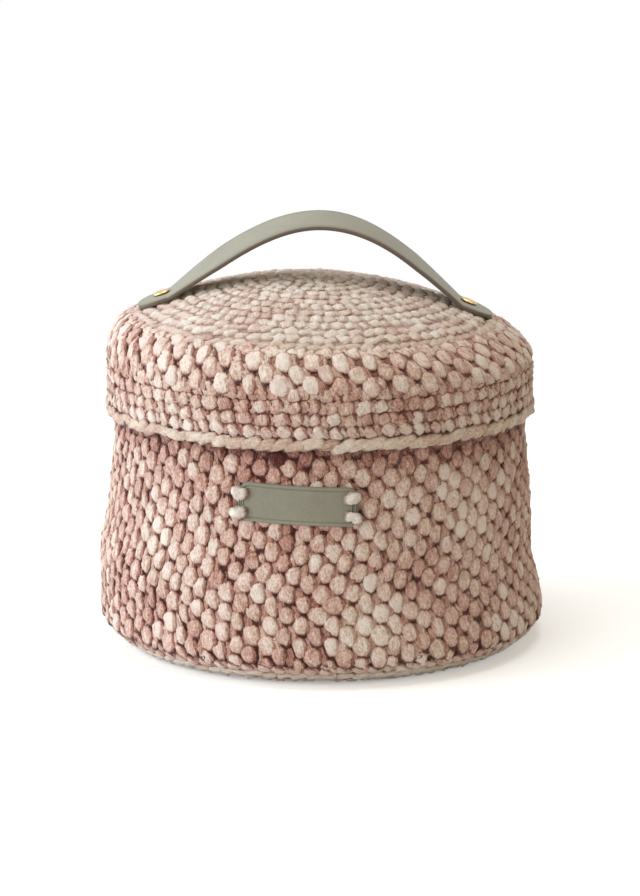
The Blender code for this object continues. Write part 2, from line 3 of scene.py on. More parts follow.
import bpy
import numpy as np
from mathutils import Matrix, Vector


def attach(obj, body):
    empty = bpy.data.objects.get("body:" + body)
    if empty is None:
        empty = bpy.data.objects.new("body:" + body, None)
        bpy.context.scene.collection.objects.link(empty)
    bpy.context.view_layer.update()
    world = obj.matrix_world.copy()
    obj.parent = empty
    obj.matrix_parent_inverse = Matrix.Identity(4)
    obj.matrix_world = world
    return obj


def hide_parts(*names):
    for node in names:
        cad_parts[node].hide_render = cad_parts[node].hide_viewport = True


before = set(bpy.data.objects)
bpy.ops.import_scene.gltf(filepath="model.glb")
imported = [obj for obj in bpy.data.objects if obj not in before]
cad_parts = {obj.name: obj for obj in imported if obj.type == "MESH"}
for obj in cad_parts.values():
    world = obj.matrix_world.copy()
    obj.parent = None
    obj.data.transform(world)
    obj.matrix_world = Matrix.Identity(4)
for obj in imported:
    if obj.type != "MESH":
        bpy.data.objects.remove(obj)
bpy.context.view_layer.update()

MM = 0.001
ROUNDS = 15
GROWTH = 6
COLUMNS = ROUNDS * GROWTH
PUFFS = COLUMNS // 2
COLUMN_TURN = 2 * math.pi / COLUMNS

# Directions in the (radius, height) plane.
OUTWARD, INWARD, UPWARD, DOWNWARD = (1, 0), (-1, 0), (0, 1), (0, -1)

# Sizes of the solids, in metres, under the names that the part's source gives them.
SEAT_GAP = 0.0003
BELLY_R = 0.1124
NECK_R = 0.0995
NECK_Z = 0.150
TAPER_POWER = 1.15
FOOT_IN = 0.0155
FOOT_HIGH = 0.0155
FOOT_POWER = 1.5
WALL_TOP_Z = 0.117
HALF_COURSE = 0.00485
BRAID_TOP_Z = 0.0060
LEAN_SHARE = 0.14
BASE_R = 0.0911
BASE_THICK = 0.0062
COLLAR_TOP_Z = 0.145
EDGE_OUT_R = 0.0987
EDGE_IN_R = 0.0923
LID_IN_R = 0.1029
SKIRT_R = 0.1068
SKIRT_ROWS = 3
RIM_BOTTOM_Z = 0.1165
RIM_TOP_Z = 0.1219
SKIRT_TOP_Z = 0.1397
SHOULDER_RADIUS = 0.0262
SHOULDER_CENTRE_R = SKIRT_R - SHOULDER_RADIUS
SHOULDER_CENTRE_Z = 0.1400
SHOULDER_FIRST = 1.3 * MM
SHOULDER_STEP = 0.0064
SHOULDER_ROWS = 4
SHOULDER_TURN = math.radians(60)
LEDGE_Z = 0.1520
CROWN_R = 0.0937
CROWN_Z = 0.16269
CROWN_RISE = 0.0215
CROWN_THICK = 0.0070
LABEL_Z = 0.0896
LABEL_TURN = math.radians(-96.4)
LABEL_TILT = math.radians(-2.0)
LABEL_HALF = 0.0288
LABEL_HALF_HIGH = 0.0093
LABEL_THICK = 0.0013
TAG_STITCH_APART = 0.0044
RIVET_X = 0.0760
STRAP_HALF = RIVET_X + 0.0125
STRAP_WIDTH = 0.0290
STRAP_THICK = 0.0022
STRAP_END_RADIUS = 0.0105
STRAP_FLAT_FROM = RIVET_X - 0.0015

# The drawn strap: its bend as the photo shows it, and finer edges than the solid's.
STRAP_BEND_TO = STRAP_FLAT_FROM * 0.96
STRAP_SLOPE = 0.86
STRAP_SWAY = -0.0037
STRAP_LEAN = math.radians(8.2)
STRAP_TWIST = math.radians(2.8)
STRAP_STEPS = 400
STRAP_STATIONS = 70
STRAP_END_STATIONS = 12
STRAP_EDGE = 0.7 * MM
STRAP_CUP = 0.25 * MM
STRAP_EDGE_DARK = 1.3 * MM

# The drawn rivets: the cap's sizes, and the back's profile as (radius, depth) in mm.
CAP_FOOT_R = 4.1 * MM
CAP_R = 4.3 * MM
CAP_FOOT_HIGH = 0.2 * MM
CAP_RIM_HIGH = 0.5 * MM
CAP_DOME_HIGH = 1.1 * MM
CAP_HIGH = 1.6 * MM
CAP_LIFT = 0.1 * MM
BACK_THICK = 1.6 * MM
BACK_PROFILE = ((4.3, 1.5), (4.8, 1.4), (5.0, 1.1), (5.0, 0.3), (4.7, 0.0))
RIVET_SIDES = 32

# Painted shade of the slots at the label's ends: where they lie, how big they are and how dark
# they are painted.
SLOT_PLACES = (LABEL_HALF - 0.0008, LABEL_HALF - 0.0027)
SLOT_HALF_HIGH = 2.9 * MM
SLOT_HALF_WIDE = 0.33 * MM
SLOT_SHADE = 0.8

# How far the puffs under the label are pressed in, and over what distance round it that fades.
PRESS_DEEP = 0.9 * MM
PRESS_REACH = 4 * MM
PRESS_FADE = 3 * MM

# The slump of the soft basket and lid: shifts to the left in mm, heights and radii in metres.
BASKET_LEAN = 1.0
BASKET_LEAN_Z = (0.010, 0.050)
BASKET_BULGE = 2.3
BULGE_Z = 0.045
BULGE_HIGH = 0.017
REST_Z = 0.1 * MM
LID_SHIFT = 1.0
LID_LEAN = 2.4
LID_LEAN_Z = (0.141, 0.163)
LEDGE_LEAN_R = 0.100
LEDGE_LEAN_Z = (0.1535, 0.1565)
LID_DROP = 0.8 * MM
LID_TILT = 0.028

# Spread of the lobes of one kind: length, width and height as shares, tilt in degrees, places
# across and along and bow in mm, and tone.
LOBE_SPREAD = (0.05, 0.08, 0.05, 6.0, 0.2, 0.3, 0.35, 0.24)
# Waves that make a lobe lumpy: size, turns round the lobe, slant along it.
LUMP_WAVES = ((1.0, 2, 2.2), (0.8, 3, -3.1), (0.7, 0, 5.0), (0.5, 5, 6.0))
# How far a lobe's ends dip, as a share of its height, and the crest value at its tips, kept low
# so that the tips take the painted shade of the creases.
END_DIP = 0.09
TIP_CREST = 0.1
# The strand attribute: width for each radian round a lobe in mm, and spacing of the lobes' seeds.
STRAND_AROUND = 2.6
STRAND_SEED = 9


def wall_radius(z):
    """Radius of the puff tips at height z."""
    if z < FOOT_HIGH:
        share = ((FOOT_HIGH - max(z, 0)) / FOOT_HIGH) ** FOOT_POWER
        return BELLY_R - FOOT_IN * (1 - (1 - share) ** (1 / FOOT_POWER))
    share = min(1, (z - FOOT_HIGH) / (NECK_Z - FOOT_HIGH))
    return NECK_R + (BELLY_R - NECK_R) * (1 - share) ** TAPER_POWER


def wall_frame(z):
    """Radius, and the outward and upward directions in the (radius, height) plane."""
    step = 0.0008
    slope = (wall_radius(z + step) - wall_radius(z - step)) / (2 * step)
    long = math.hypot(1, slope)
    return wall_radius(z), (1 / long, -slope / long), (slope / long, 1 / long)


def crown_height(r):
    """Height of the crown at radius r."""
    return CROWN_Z + CROWN_RISE * (1 - (r / CROWN_R) ** 2)


def crown_slope(r):
    """How steeply the crown falls at radius r."""
    return 2 * CROWN_RISE * r / CROWN_R**2


def crown_frame(r):
    """Height, outward and upward directions of the crown at radius r; up is to the middle."""
    slope = crown_slope(r)
    long = math.hypot(1, slope)
    return crown_height(r), (slope / long, 1 / long), (-1 / long, slope / long)


def shoulder_frame(arc):
    """Radius, height, outward and upward directions at an arc length up the shoulder."""
    a = arc / SHOULDER_RADIUS
    r = SHOULDER_CENTRE_R + SHOULDER_RADIUS * math.cos(a)
    z = SHOULDER_CENTRE_Z + SHOULDER_RADIUS * math.sin(a)
    return r, z, (math.cos(a), math.sin(a)), (-math.sin(a), math.cos(a))


def row_turn(row):
    """Turn of a staggered, slowly leaning row of puffs."""
    return (row * LEAN_SHARE + row % 2) * COLUMN_TURN


def opposite(direction):
    return (-direction[0], -direction[1])


def ease(x, low, high):
    """A smooth step from 0 at low to 1 at high."""
    t = np.clip((x - low) / (high - low), 0, 1)
    return t * t * (3 - 2 * t)


def slump_basket(v):
    """The soft basket leans a little to its left, and rests flat on the table."""
    z = v[:, 2]
    bulge = np.exp(-(((z - BULGE_Z) / BULGE_HIGH) ** 2))
    shift = BASKET_LEAN * ease(z, *BASKET_LEAN_Z) + BASKET_BULGE * bulge
    v = v.copy()
    v[:, 0] -= shift * MM
    v[:, 2] = np.maximum(z, REST_Z)
    return v


def slump_lid(v):
    """The lid's top leans to the left and lies a little lower on the right."""
    x, z, r = v[:, 0], v[:, 2], np.hypot(v[:, 0], v[:, 1])
    share = ease(z, *LID_LEAN_Z) * np.where(r < LEDGE_LEAN_R, ease(z, *LEDGE_LEAN_Z), 1)
    v = v.copy()
    v[:, 0] -= (LID_SHIFT + LID_LEAN * share) * MM
    v[:, 2] -= (LID_DROP + LID_TILT * x) * share
    return v


class Pile:
    """Vertices, faces and per-vertex values that become one mesh."""

    def __init__(self):
        self.verts, self.faces, self.crest, self.tone, self.strand = [], [], [], [], []
        self.count = 0

    def add(self, verts, faces, crest, tone, strand):
        self.verts.append(verts)
        self.faces += [f + self.count for f in faces]
        self.crest.append(crest)
        self.tone.append(tone)
        self.strand.append(strand)
        self.count += len(verts)

    def make(self, name, material, slump):
        verts = slump(np.concatenate(self.verts)).astype(np.float32)
        mesh = bpy.data.meshes.new(name)
        corners = np.concatenate([f.ravel() for f in self.faces]).astype(np.int32)
        sizes = [np.full(len(f), f.shape[1]) for f in self.faces]
        sizes = np.concatenate(sizes).astype(np.int32)
        mesh.vertices.add(len(verts))
        mesh.vertices.foreach_set("co", verts.ravel())
        mesh.loops.add(len(corners))
        mesh.loops.foreach_set("vertex_index", corners)
        mesh.polygons.add(len(sizes))
        starts = np.concatenate([[0], np.cumsum(sizes)[:-1]]).astype(np.int32)
        mesh.polygons.foreach_set("loop_start", starts)
        mesh.polygons.foreach_set("loop_total", sizes)
        mesh.polygons.foreach_set("use_smooth", np.ones(len(sizes), bool))
        mesh.update(calc_edges=True)
        for word, kind, field, values in (
            ("crest", "FLOAT", "value", self.crest),
            ("tone", "FLOAT", "value", self.tone),
            ("strand", "FLOAT_VECTOR", "vector", self.strand),
        ):
            values = np.concatenate(values).astype(np.float32).ravel()
            mesh.attributes.new(word, kind, "POINT").data.foreach_set(field, values)
        mesh.validate()
        mesh.materials.append(material)
        obj = bpy.data.objects.new(name, mesh)
        bpy.context.scene.collection.objects.link(obj)
        return obj


def tube_faces(rings, around, copies=1):
    """Faces of closed tubes: rings of points and a pole at each end, for so many copies."""
    size = rings * around + 2
    k, m = np.meshgrid(np.arange(rings - 1), np.arange(around), indexing="ij")
    n = (m + 1) % around
    quads = [k * around + m, k * around + n, (k + 1) * around + n, (k + 1) * around + m]
    quads = np.stack(quads, -1).reshape(-1, 4)
    m = np.arange(around)
    n = (m + 1) % around
    low, high = rings * around, rings * around + 1
    last = (rings - 1) * around
    tris = np.concatenate(
        [
            np.stack([n, m, np.full(around, low)], -1),
            np.stack([last + m, last + n, np.full(around, high)], -1),
        ]
    )
    shift = (np.arange(copies) * size)[:, None, None]
    return [(quads + shift).reshape(-1, 4), (tris + shift).reshape(-1, 3)]


def signed_power(base, power):
    """Power that keeps the sign."""
    return np.sign(base) * np.abs(base) ** power


def add_lobes(
    pile, rng, at, out, up, side, spec, rings=9, around=10,
    lumps=0.18, rough=0.2, point=0.15, flat=0.46, wild=1.0, fray=0.34,
):
    """Adds one yarn lobe at each point, running along up and turned towards side by its tilt.

    spec holds the shifts du, dv and dn, length, width and height in mm, tilt in degrees, taper
    and tone. wild scales how much the lobes differ, and fray is how ragged their ends are.
    """
    du, dv, dn, length, width, height, tilt, taper, shade = spec
    count = len(at)
    vary = rng.normal(0, 1, (count, 8))
    vary[:, :7] *= wild
    vary *= LOBE_SPREAD
    long = length * (1 + vary[:, 0])
    wide = width * (1 + vary[:, 1])
    high = height * (1 + vary[:, 2])
    turn = np.radians(tilt + vary[:, 3])
    du = du + vary[:, 4]
    dv = dv + vary[:, 5]
    bow = vary[:, 6]
    along = up * np.cos(turn)[:, None] + side * np.sin(turn)[:, None]
    across = side * np.cos(turn)[:, None] - up * np.sin(turn)[:, None]
    centre = at + (side * du[:, None] + up * dv[:, None]) * MM
    centre = centre + out * ((dn - high / 2) * MM)[:, None]
    # s runs from -1 to 1 along the lobe, with more points near its ends.
    s = -np.cos(np.pi * (np.arange(rings) + 0.6) / (rings + 0.2))
    # More points on the outer side than on the hidden one.
    part = np.arange(around) / around
    phi = -np.pi / 2 + 2 * np.pi * (part + 0.05 * np.sin(2 * np.pi * part))
    # The lobe's outline from outside, and how full it is from the side.
    outline = ((1 - point * np.abs(s) ** 1.5) * (1 - np.abs(s) ** 8) ** 0.5)[None, :, None]
    body = ((1 - np.abs(s) ** 3.5) ** 0.45)[None, :, None]
    phase = rng.uniform(0, 2 * np.pi, (count, len(LUMP_WAVES)))
    grid_s = s[None, :, None]
    grid_p = phi[None, None, :]
    lump = sum(
        size * np.sin(turns * grid_p + slant * grid_s + phase[:, i, None, None])
        for i, (size, turns, slant) in enumerate(LUMP_WAVES)
    ) * lumps + rng.normal(0, rough, (count, rings, around))
    grow = 1 + taper * grid_s
    x = (wide[:, None, None] / 2 * grow + lump) * outline * signed_power(np.cos(grid_p), 0.85)
    n = (high[:, None, None] / 2 * body + lump * body) * signed_power(np.sin(grid_p), flat)
    x = x + bow[:, None, None] * (1 - grid_s**2)
    n = n - END_DIP * high[:, None, None] * grid_s**2
    a = long[:, None, None] / 2 * grid_s + 0 * x
    # Frayed ends: each line of points along the lobe stops a little early or late.
    ragged = rng.normal(0, fray, (count, 2, around))
    a = a + np.where(grid_s > 0, ragged[:, 1:], ragged[:, :1]) * grid_s**4
    verts = (
        centre[:, None, None, :]
        + a[..., None] * MM * along[:, None, None, :]
        + x[..., None] * MM * across[:, None, None, :]
        + n[..., None] * MM * out[:, None, None, :]
    ).reshape(count, rings * around, 3)
    tips = [
        centre + along * (sign * long / 2 * MM)[:, None] - out * (END_DIP * high * MM)[:, None]
        for sign in (-1, 1)
    ]
    verts = np.concatenate([verts, np.stack(tips, 1)], 1)
    # The crest value falls on a lobe's sides and towards its ends; the yarn colour turns it into
    # painted shade in the creases between lobes and paler crests.
    crest = (np.sin(grid_p) * 0.5 + 0.5) * (1 - 0.8 * np.abs(grid_s) ** 4) + 0 * x
    crest = np.concatenate([crest.reshape(count, -1), np.full((count, 2), TIP_CREST)], 1)
    tone = np.repeat((shade + vary[:, 7])[:, None], rings * around + 2, 1)
    seed = phase[:, 0, None, None] * STRAND_SEED + 0 * x
    strand = np.stack([grid_p * STRAND_AROUND + 0 * x, a, seed], -1).reshape(count, -1, 3)
    tip_strand = np.zeros((count, 2, 3))
    tip_strand[:, 0, 1], tip_strand[:, 1, 1] = -long / 2, long / 2
    tip_strand[:, :, 2] = phase[:, :1] * STRAND_SEED
    strand = np.concatenate([strand, tip_strand], 1)
    faces = tube_faces(rings, around, count)
    pile.add(verts.reshape(-1, 3), faces, crest.ravel(), tone.ravel(), strand.reshape(-1, 3))


def ring_frames(count, r, z, out, up, turn=0):
    """Points and directions of count places on a ring."""
    a = turn + 2 * math.pi * np.arange(count) / count
    radial = np.stack([np.cos(a), np.sin(a), np.zeros_like(a)], -1)
    side = np.stack([-np.sin(a), np.cos(a), np.zeros_like(a)], -1)
    top = np.array([0, 0, 1.0])
    at = radial * r + top * z
    return at, radial * out[0] + top * out[1], radial * up[0] + top * up[1], side


def stitch_ring(pile, rng, count, r, z, out, up, specs, turn=0, **extra):
    """A ring of stitches, each made of the lobes in specs."""
    at, o, u, s = ring_frames(count, r, z, out, up, turn)
    for spec in specs:
        add_lobes(pile, rng, at, o, u, s, spec, **extra)


def lining_ring(pile, rng, count, r, z, out, up, specs, turn=0):
    """A ring of plain stitches on a hidden side, with few points each."""
    stitch_ring(pile, rng, count, r, z, out, up, specs, turn, rings=5, around=8)


def add_band(pile, profile, crest=0.66):
    """A closed band turned from a closed loop of (radius, height)."""
    sides = 120
    a = 2 * math.pi * np.arange(sides) / sides
    rows = len(profile)
    circle = list(zip(np.cos(a), np.sin(a)))
    verts = np.array([[(r * c, r * s, z) for r, z in profile] for c, s in circle])
    k, m = np.meshgrid(np.arange(sides), np.arange(rows), indexing="ij")
    k2, m2 = (k + 1) % sides, (m + 1) % rows
    faces = [k * rows + m, k2 * rows + m, k2 * rows + m2, k * rows + m2]
    faces = np.stack(faces, -1).reshape(-1, 4)
    n = sides * rows
    strand = [np.repeat(a * 100, rows), np.tile(np.arange(rows), sides), np.zeros(n)]
    strand = np.stack(strand, -1)
    # The crest value gives the core a dark colour low on the yarn's ramp, painted as the shade in
    # the gaps between the stitches where it shows.
    pile.add(verts.reshape(-1, 3), [faces], np.full(n, crest), np.full(n, 0.0), strand)


def box_loop(in_r, out_r, low_z, high_z):
    """Profile of a band with a rectangular section."""
    return [(in_r, low_z), (out_r, low_z), (out_r, high_z), (in_r, high_z)]


def wall_loop(heights, out_deep, in_deep):
    """Profile of a core that follows the wall, between two depths under the puff tips."""
    loop = [(wall_radius(z) - out_deep, z) for z in heights]
    return loop + [(wall_radius(z) - in_deep, z) for z in heights[::-1]]


# Lobes of each kind of stitch: du, dv, dn, length, width, height (mm), tilt (degrees), taper and
# tone.
PUFF = (
    (-0.9, 0.1, 0.6, 11.8, 9.2, 6.2, -4, 0.04, 0.1),
    (3.8, 0.5, -0.3, 11.2, 6.3, 5.6, 3, -0.04, -0.45),
)
BIG_PUFF = (
    (-0.8, 0.0, 0.9, 12.6, 9.8, 6.6, -4, 0.0, 0.3),
    (3.7, -0.2, 0.2, 11.8, 6.2, 6.0, -12, 0.0, -0.25),
)
SEED = (
    (-1.0, 0.0, 1.0, 8.0, 5.8, 4.8, -60, 0.0, 0.1),
    (2.6, 0.2, 0.4, 7.2, 5.6, 4.6, -36, 0.0, -0.3),
)
LOW_FILLER = (
    (-1.2, 0.0, 0.3, 8.6, 9.0, 6.0, -10, 0.1, -0.1),
    (3.6, 0.0, 0.1, 8.4, 8.0, 5.8, 8, 0.1, -0.25),
    (-5.6, 0.0, -0.1, 8.2, 8.0, 5.8, -4, 0.1, -0.2),
)
HIGH_FILLER = (
    (-1.2, 0.6, 0.3, 9.4, 8.0, 5.6, -30, 0.1, 0.35),
    (3.6, 0.4, -0.2, 9.0, 7.6, 5.6, -14, 0.1, 0.1),
    (-5.2, 1.4, -0.5, 8.0, 7.4, 5.2, -50, 0.1, 0.2),
)
SINGLE = (
    (-1.0, 0.0, 0.3, 6.9, 6.6, 4.6, -14, -0.12, 0.1),
    (2.4, 0.1, 0.0, 6.7, 5.0, 4.4, -6, 0.0, -0.3),
)
BEAD = (
    (-0.5, 0.0, 0.3, 7.6, 6.4, 4.6, -22, 0.0, 0.2),
    (2.6, 0.3, -0.4, 7.0, 4.2, 4.0, -14, 0.0, 0.0),
)
SKIRT_STITCHES = (
    (
        (-0.5, 0.0, 0.5, 8.8, 6.6, 4.8, -44, 0.0, 0.4),
        (3.4, 0.1, -0.1, 7.2, 4.4, 4.6, -24, 0.0, -0.1),
    ),
    (
        (-0.6, 0.0, 0.3, 7.6, 8.0, 4.8, -24, 0.0, 0.1),
        (3.8, 0.0, -0.2, 7.2, 5.4, 4.5, -20, 0.0, -0.25),
    ),
    (
        (-0.6, 0.5, 0.5, 8.0, 8.2, 5.0, -20, 0.0, 0.1),
        (3.8, 0.5, 0.0, 7.6, 5.6, 4.7, -12, 0.0, -0.25),
    ),
)
FLAT_STRAND = ((0.0, 0.0, 0.2, 9.6, 7.0, 4.2, 62, 0.0, 0.15),)
EDGE_STRAND = ((0.0, 0.0, 0.3, 11.0, 6.0, 4.4, 74, 0.0, -0.1),)
RIM_STRAND = ((0.0, 0.0, 0.5, 14.6, 5.9, 4.2, 80, 0.0, 0.35),)
# Painted light: the base braid's strands are a pale yarn, and their tones are set higher still to
# stand in for the light that the floor throws up on them.
BASE_STRAND = ((0.0, 0.0, 0.4, 11.6, 5.2, 4.4, 74, 0.0, 1.1),)
LOW_STRAND = ((0.0, 0.0, 0.2, 9.4, 3.6, 3.8, 98, 0.0, 1.0),)
COLLAR_STRAND = ((0.0, 0.0, 0.1, 10.4, 6.0, 4.6, 72, 0.0, 0.2),)
# Stitches on the hidden sides.
WALL_LINING = ((0.0, 0.0, 0.2, 7.6, 6.8, 4.4, 70, 0.0, -0.1),)
BASE_LINING = ((0.0, 0.0, 0.0, 7.0, 6.6, 3.6, 64, 0.0, 0.0),)
BRAID_LINING = ((0.0, 0.0, 0.0, 7.0, 4.6, 3.2, 80, 0.0, 0.0),)
RIM_LINING = ((0.0, 0.0, 0.0, 9.0, 5.2, 3.0, 76, 0.0, 0.0),)
SKIRT_LINING = ((0.0, 0.0, 0.0, 8.0, 6.4, 2.2, 70, 0.0, 0.0),)
LEDGE_LINING = ((0.0, 0.0, 0.0, 8.4, 6.6, 3.6, 84, 0.0, 0.0),)
SHOULDER_LINING = ((0.0, 0.0, 0.0, 8.4, 6.8, 2.0, 84, 0.0, 0.0),)
CROWN_LINING = ((0.0, 0.0, 0.2, 7.2, 6.6, 3.8, 70, 0.0, -0.1),)

# Painted shade: tone added to the wall's rows that lie in the shadow under the rim, the top row
# first.
UNDER_RIM_SHADE = (-1.1, -0.8, -0.3)
# The wall's bottom row: how far its first lobe is sunk, how much more its second one, and how
# much shorter both are, in mm, with smoother ends.
FOOT_SINK = 0.4
FOOT_SINK_MORE = 1.2
FOOT_CUT = 1.0
SMOOTH_FOOT = dict(rough=0.04, fray=0.05)
SMOOTH_SEED = dict(rough=0.03, fray=0.05)
# Rows and stitches of the drawn yarn, and the crown's first round of flat stitches.
WALL_LINING_ROWS = 12
COLLAR_ROWS = 5
SKIRT_COUNT = 80
FLAT_ROUNDS_FROM = 13
# How far each row is turned from the one before, in radians.
LINING_TURN = 0.02
SKIRT_ROW_TURN = 0.3
ROUND_TURN = 0.37
UNDER_ROUND_TURN = 0.3
# Places of the drawn yarn and its cores, in metres.
LINING_DEEP = 8.4 * MM
COLLAR_LINING_DEEP = 6.4 * MM
UNDERSIDE_Z = 0.15 * MM
EDGE_LOW_Z = 0.1453
BRAID_CORE = ((0.0985, 1.2 * MM), (0.1020, 3.5 * MM), (0.1030, 5.4 * MM))
COLLAR_CORE = box_loop(0.0940, 0.0972, 0.1458, 0.1512)
RIM_YARN_R = 0.1076
LID_CORE_IN_R = 0.1036
RIM_CORE_OUT_R = 0.1056
SKIRT_CORE_OUT_R = 0.1060
LOW_FILLER_ARC = 3.5 * MM
HIGH_FILLER_BACK = 0.6 * MM
CORE_DEEP = 0.9 * MM
LEDGE_R = 0.0958
LEDGE_CORE = (
    (0.0926, LEDGE_Z + 1.4 * MM),
    (0.0990, LEDGE_Z + 1.0 * MM),
    (LID_IN_R - 0.2 * MM, 0.1490),
    (LID_IN_R - 0.1 * MM, 0.1402),
)
SHOULDER_LINING_Z = 0.1440
CROWN_YARN_R = 0.0929
CROWN_CORE_IN_R = 0.0004
CROWN_CORE_R = 0.0922
CROWN_CORE_FOOT = (0.0912, 0.1535)
CROWN_CORE_UP = 1.2 * MM


def new_material(name):
    mat = bpy.data.materials.new(name)
    mat.use_nodes = True
    return mat, mat.node_tree, mat.node_tree.nodes["Principled BSDF"]


def add_node(tree, kind, inputs=None, **fields):
    node = tree.nodes.new(kind)
    for key, value in fields.items():
        setattr(node, key, value)
    for key, value in (inputs or {}).items():
        if isinstance(value, bpy.types.NodeSocket):
            tree.links.new(value, node.inputs[key])
        else:
            node.inputs[key].default_value = value
    return node


def math_node(tree, operation, a, b=0.0, c=0.0, clamp=False):
    inputs = {0: a, 1: b, 2: c}
    node = add_node(tree, "ShaderNodeMath", inputs, operation=operation, use_clamp=clamp)
    return node.outputs[0]


def attribute(tree, name, output="Fac"):
    return add_node(tree, "ShaderNodeAttribute", attribute_name=name).outputs[output]


def object_place(tree):
    return add_node(tree, "ShaderNodeTexCoord").outputs["Object"]


def noise(tree, vector, scale, detail, roughness=0.5):
    inputs = {"Vector": vector, "Scale": scale, "Detail": detail, "Roughness": roughness}
    return add_node(tree, "ShaderNodeTexNoise", inputs).outputs["Fac"]


def scaled(tree, vector, scale):
    inputs = {"Vector": vector, "Scale": scale}
    return add_node(tree, "ShaderNodeMapping", inputs).outputs["Vector"]


def smooth_range(tree, value, low, high, to_low, to_high):
    """Smooth step of value from low to high, as values from to_low to to_high."""
    inputs = {
        "Value": value, "From Min": low, "From Max": high, "To Min": to_low, "To Max": to_high
    }
    node = add_node(tree, "ShaderNodeMapRange", inputs, interpolation_type="SMOOTHSTEP")
    return node.outputs["Result"]


def mix_colours(tree, share, first, second):
    inputs = {0: share, 6: first, 7: second}
    return add_node(tree, "ShaderNodeMix", inputs, data_type="RGBA").outputs[2]


def ramp(tree, factor, stops):
    node = add_node(tree, "ShaderNodeValToRGB", {0: factor})
    elements = node.color_ramp.elements
    while len(elements) < len(stops):
        elements.new(0.5)
    for element, (place, colour) in zip(elements, stops):
        element.position = place
        element.color = (*colour, 1)
    return node.outputs["Color"]


def add_bump(tree, shader, height, strength, distance):
    inputs = {"Strength": strength, "Distance": distance, "Height": height}
    bump = add_node(tree, "ShaderNodeBump", inputs)
    tree.links.new(bump.outputs["Normal"], shader.inputs["Normal"])


def srgb(*values):
    """Linear colour from 8-bit display values."""
    return tuple(
        (v / 255 / 12.92) if v <= 10 else ((v / 255 + 0.055) / 1.055) ** 2.4 for v in values
    )


def palette(*stops):
    """Stops of a colour ramp from rows of place, red, green, blue."""
    return [(place, srgb(*colour)) for place, *colour in stops]


def yarn_material(name, stops, cream, side_shade=0.24):
    """Velvety yarn streaked along the strand, pale on the crests and deep in the creases: partly
    the pile's paler tips, partly painted light on the crests and painted shade in the creases.

    stops and cream are the two yarn colours that patches and single lobes mix. The third argument
    is how much darker one side of each lobe is painted, as shade on its side away from the light.
    """
    mat, tree, shader = new_material(name)
    crest = attribute(tree, "crest")
    tone = attribute(tree, "tone")
    strand = attribute(tree, "strand", "Vector")
    where = object_place(tree)
    streak = noise(tree, scaled(tree, strand, (1.0, 0.22, 1.0)), 1.0, 4.0, 0.65)
    pile = noise(tree, scaled(tree, strand, (3.6, 0.8, 1.0)), 1.0, 3.0, 0.65)
    patch = noise(tree, where, 24.0, 3.0, 0.6)
    fuzz = noise(tree, where, 800.0, 3.0, 0.7)
    # Painted light and shade: the level rises on the crests and falls into the creases between
    # lobes.
    top = smooth_range(tree, crest, 0.36, 0.88, -0.56, 0.38)
    level = math_node(tree, "MULTIPLY_ADD", crest, 0.3, top)
    level = math_node(tree, "MULTIPLY_ADD", tone, 0.48, level)
    for source, gain, shift in ((streak, 1.1, -0.55), (pile, 1.2, -0.6), (fuzz, 0.7, -0.37)):
        share = math_node(tree, "MULTIPLY_ADD", source, gain, shift)
        level = math_node(tree, "ADD", level, share)
    places = add_node(tree, "ShaderNodeSeparateXYZ", {"Vector": strand}).outputs
    # Painted shade: past a streaky line along each lobe, its side away from the light is darker
    # and the other side a little lighter.
    edge = math_node(tree, "MULTIPLY_ADD", streak, 1.6, places["X"])
    shaded_side = smooth_range(tree, edge, 3.4, 3.9, -side_shade, 0.3 * side_shade)
    level = math_node(tree, "ADD", level, shaded_side)
    share = math_node(tree, "MULTIPLY_ADD", patch, 0.75, -0.37)
    level = math_node(tree, "ADD", level, share, clamp=True)
    chance = add_node(
        tree, "ShaderNodeTexWhiteNoise", {"W": places["Z"]}, noise_dimensions="1D"
    ).outputs["Value"]
    share = math_node(tree, "MULTIPLY_ADD", noise(tree, where, 26.0, 2.0), 2.3, -1.0)
    share = math_node(tree, "MULTIPLY_ADD", chance, 0.65, share)
    share = math_node(tree, "MULTIPLY_ADD", share, 0.75, -0.1, clamp=True)
    colour = mix_colours(tree, share, ramp(tree, level, stops), ramp(tree, level, cream))
    tree.links.new(colour, shader.inputs["Base Color"])
    shader.inputs["Roughness"].default_value = 0.92
    shader.inputs["Specular IOR Level"].default_value = 0.15
    shader.inputs["Sheen Weight"].default_value = 0.42
    shader.inputs["Sheen Roughness"].default_value = 0.45
    shader.inputs["Sheen Tint"].default_value = (1.0, 0.96, 0.94, 1)
    relief = math_node(tree, "MULTIPLY_ADD", pile, 0.7, math_node(tree, "MULTIPLY", streak, 0.8))
    relief = math_node(tree, "MULTIPLY_ADD", fuzz, 0.7, relief)
    add_bump(tree, shader, relief, 0.9, 0.0011)
    return mat


def leather_material(name, low, high, edge, scale):
    """Matt leather with grain and cloudy colour, darker at the cut edges."""
    mat, tree, shader = new_material(name)
    where = object_place(tree)
    inputs = {"Vector": where, "Scale": 1500.0 * scale}
    grain = add_node(tree, "ShaderNodeTexVoronoi", inputs).outputs["Distance"]
    cloud = noise(tree, where, 60.0, 4.0)
    fine = noise(tree, where, 2400.0, 3.0)
    level = math_node(tree, "MULTIPLY", cloud, 0.8)
    level = math_node(tree, "MULTIPLY_ADD", grain, 0.35, level, clamp=True)
    colour = ramp(tree, level, ((0.1, low), (0.85, high)))
    rim = math_node(tree, "MULTIPLY", attribute(tree, "crest"), 0.8)
    colour = mix_colours(tree, rim, colour, (*edge, 1))
    tree.links.new(colour, shader.inputs["Base Color"])
    roughness = math_node(tree, "MULTIPLY_ADD", cloud, 0.25, 0.43)
    tree.links.new(roughness, shader.inputs["Roughness"])
    shader.inputs["Specular IOR Level"].default_value = 0.4
    relief = math_node(tree, "MULTIPLY_ADD", fine, 0.4, grain)
    add_bump(tree, shader, relief, 0.35, 0.0002)
    return mat


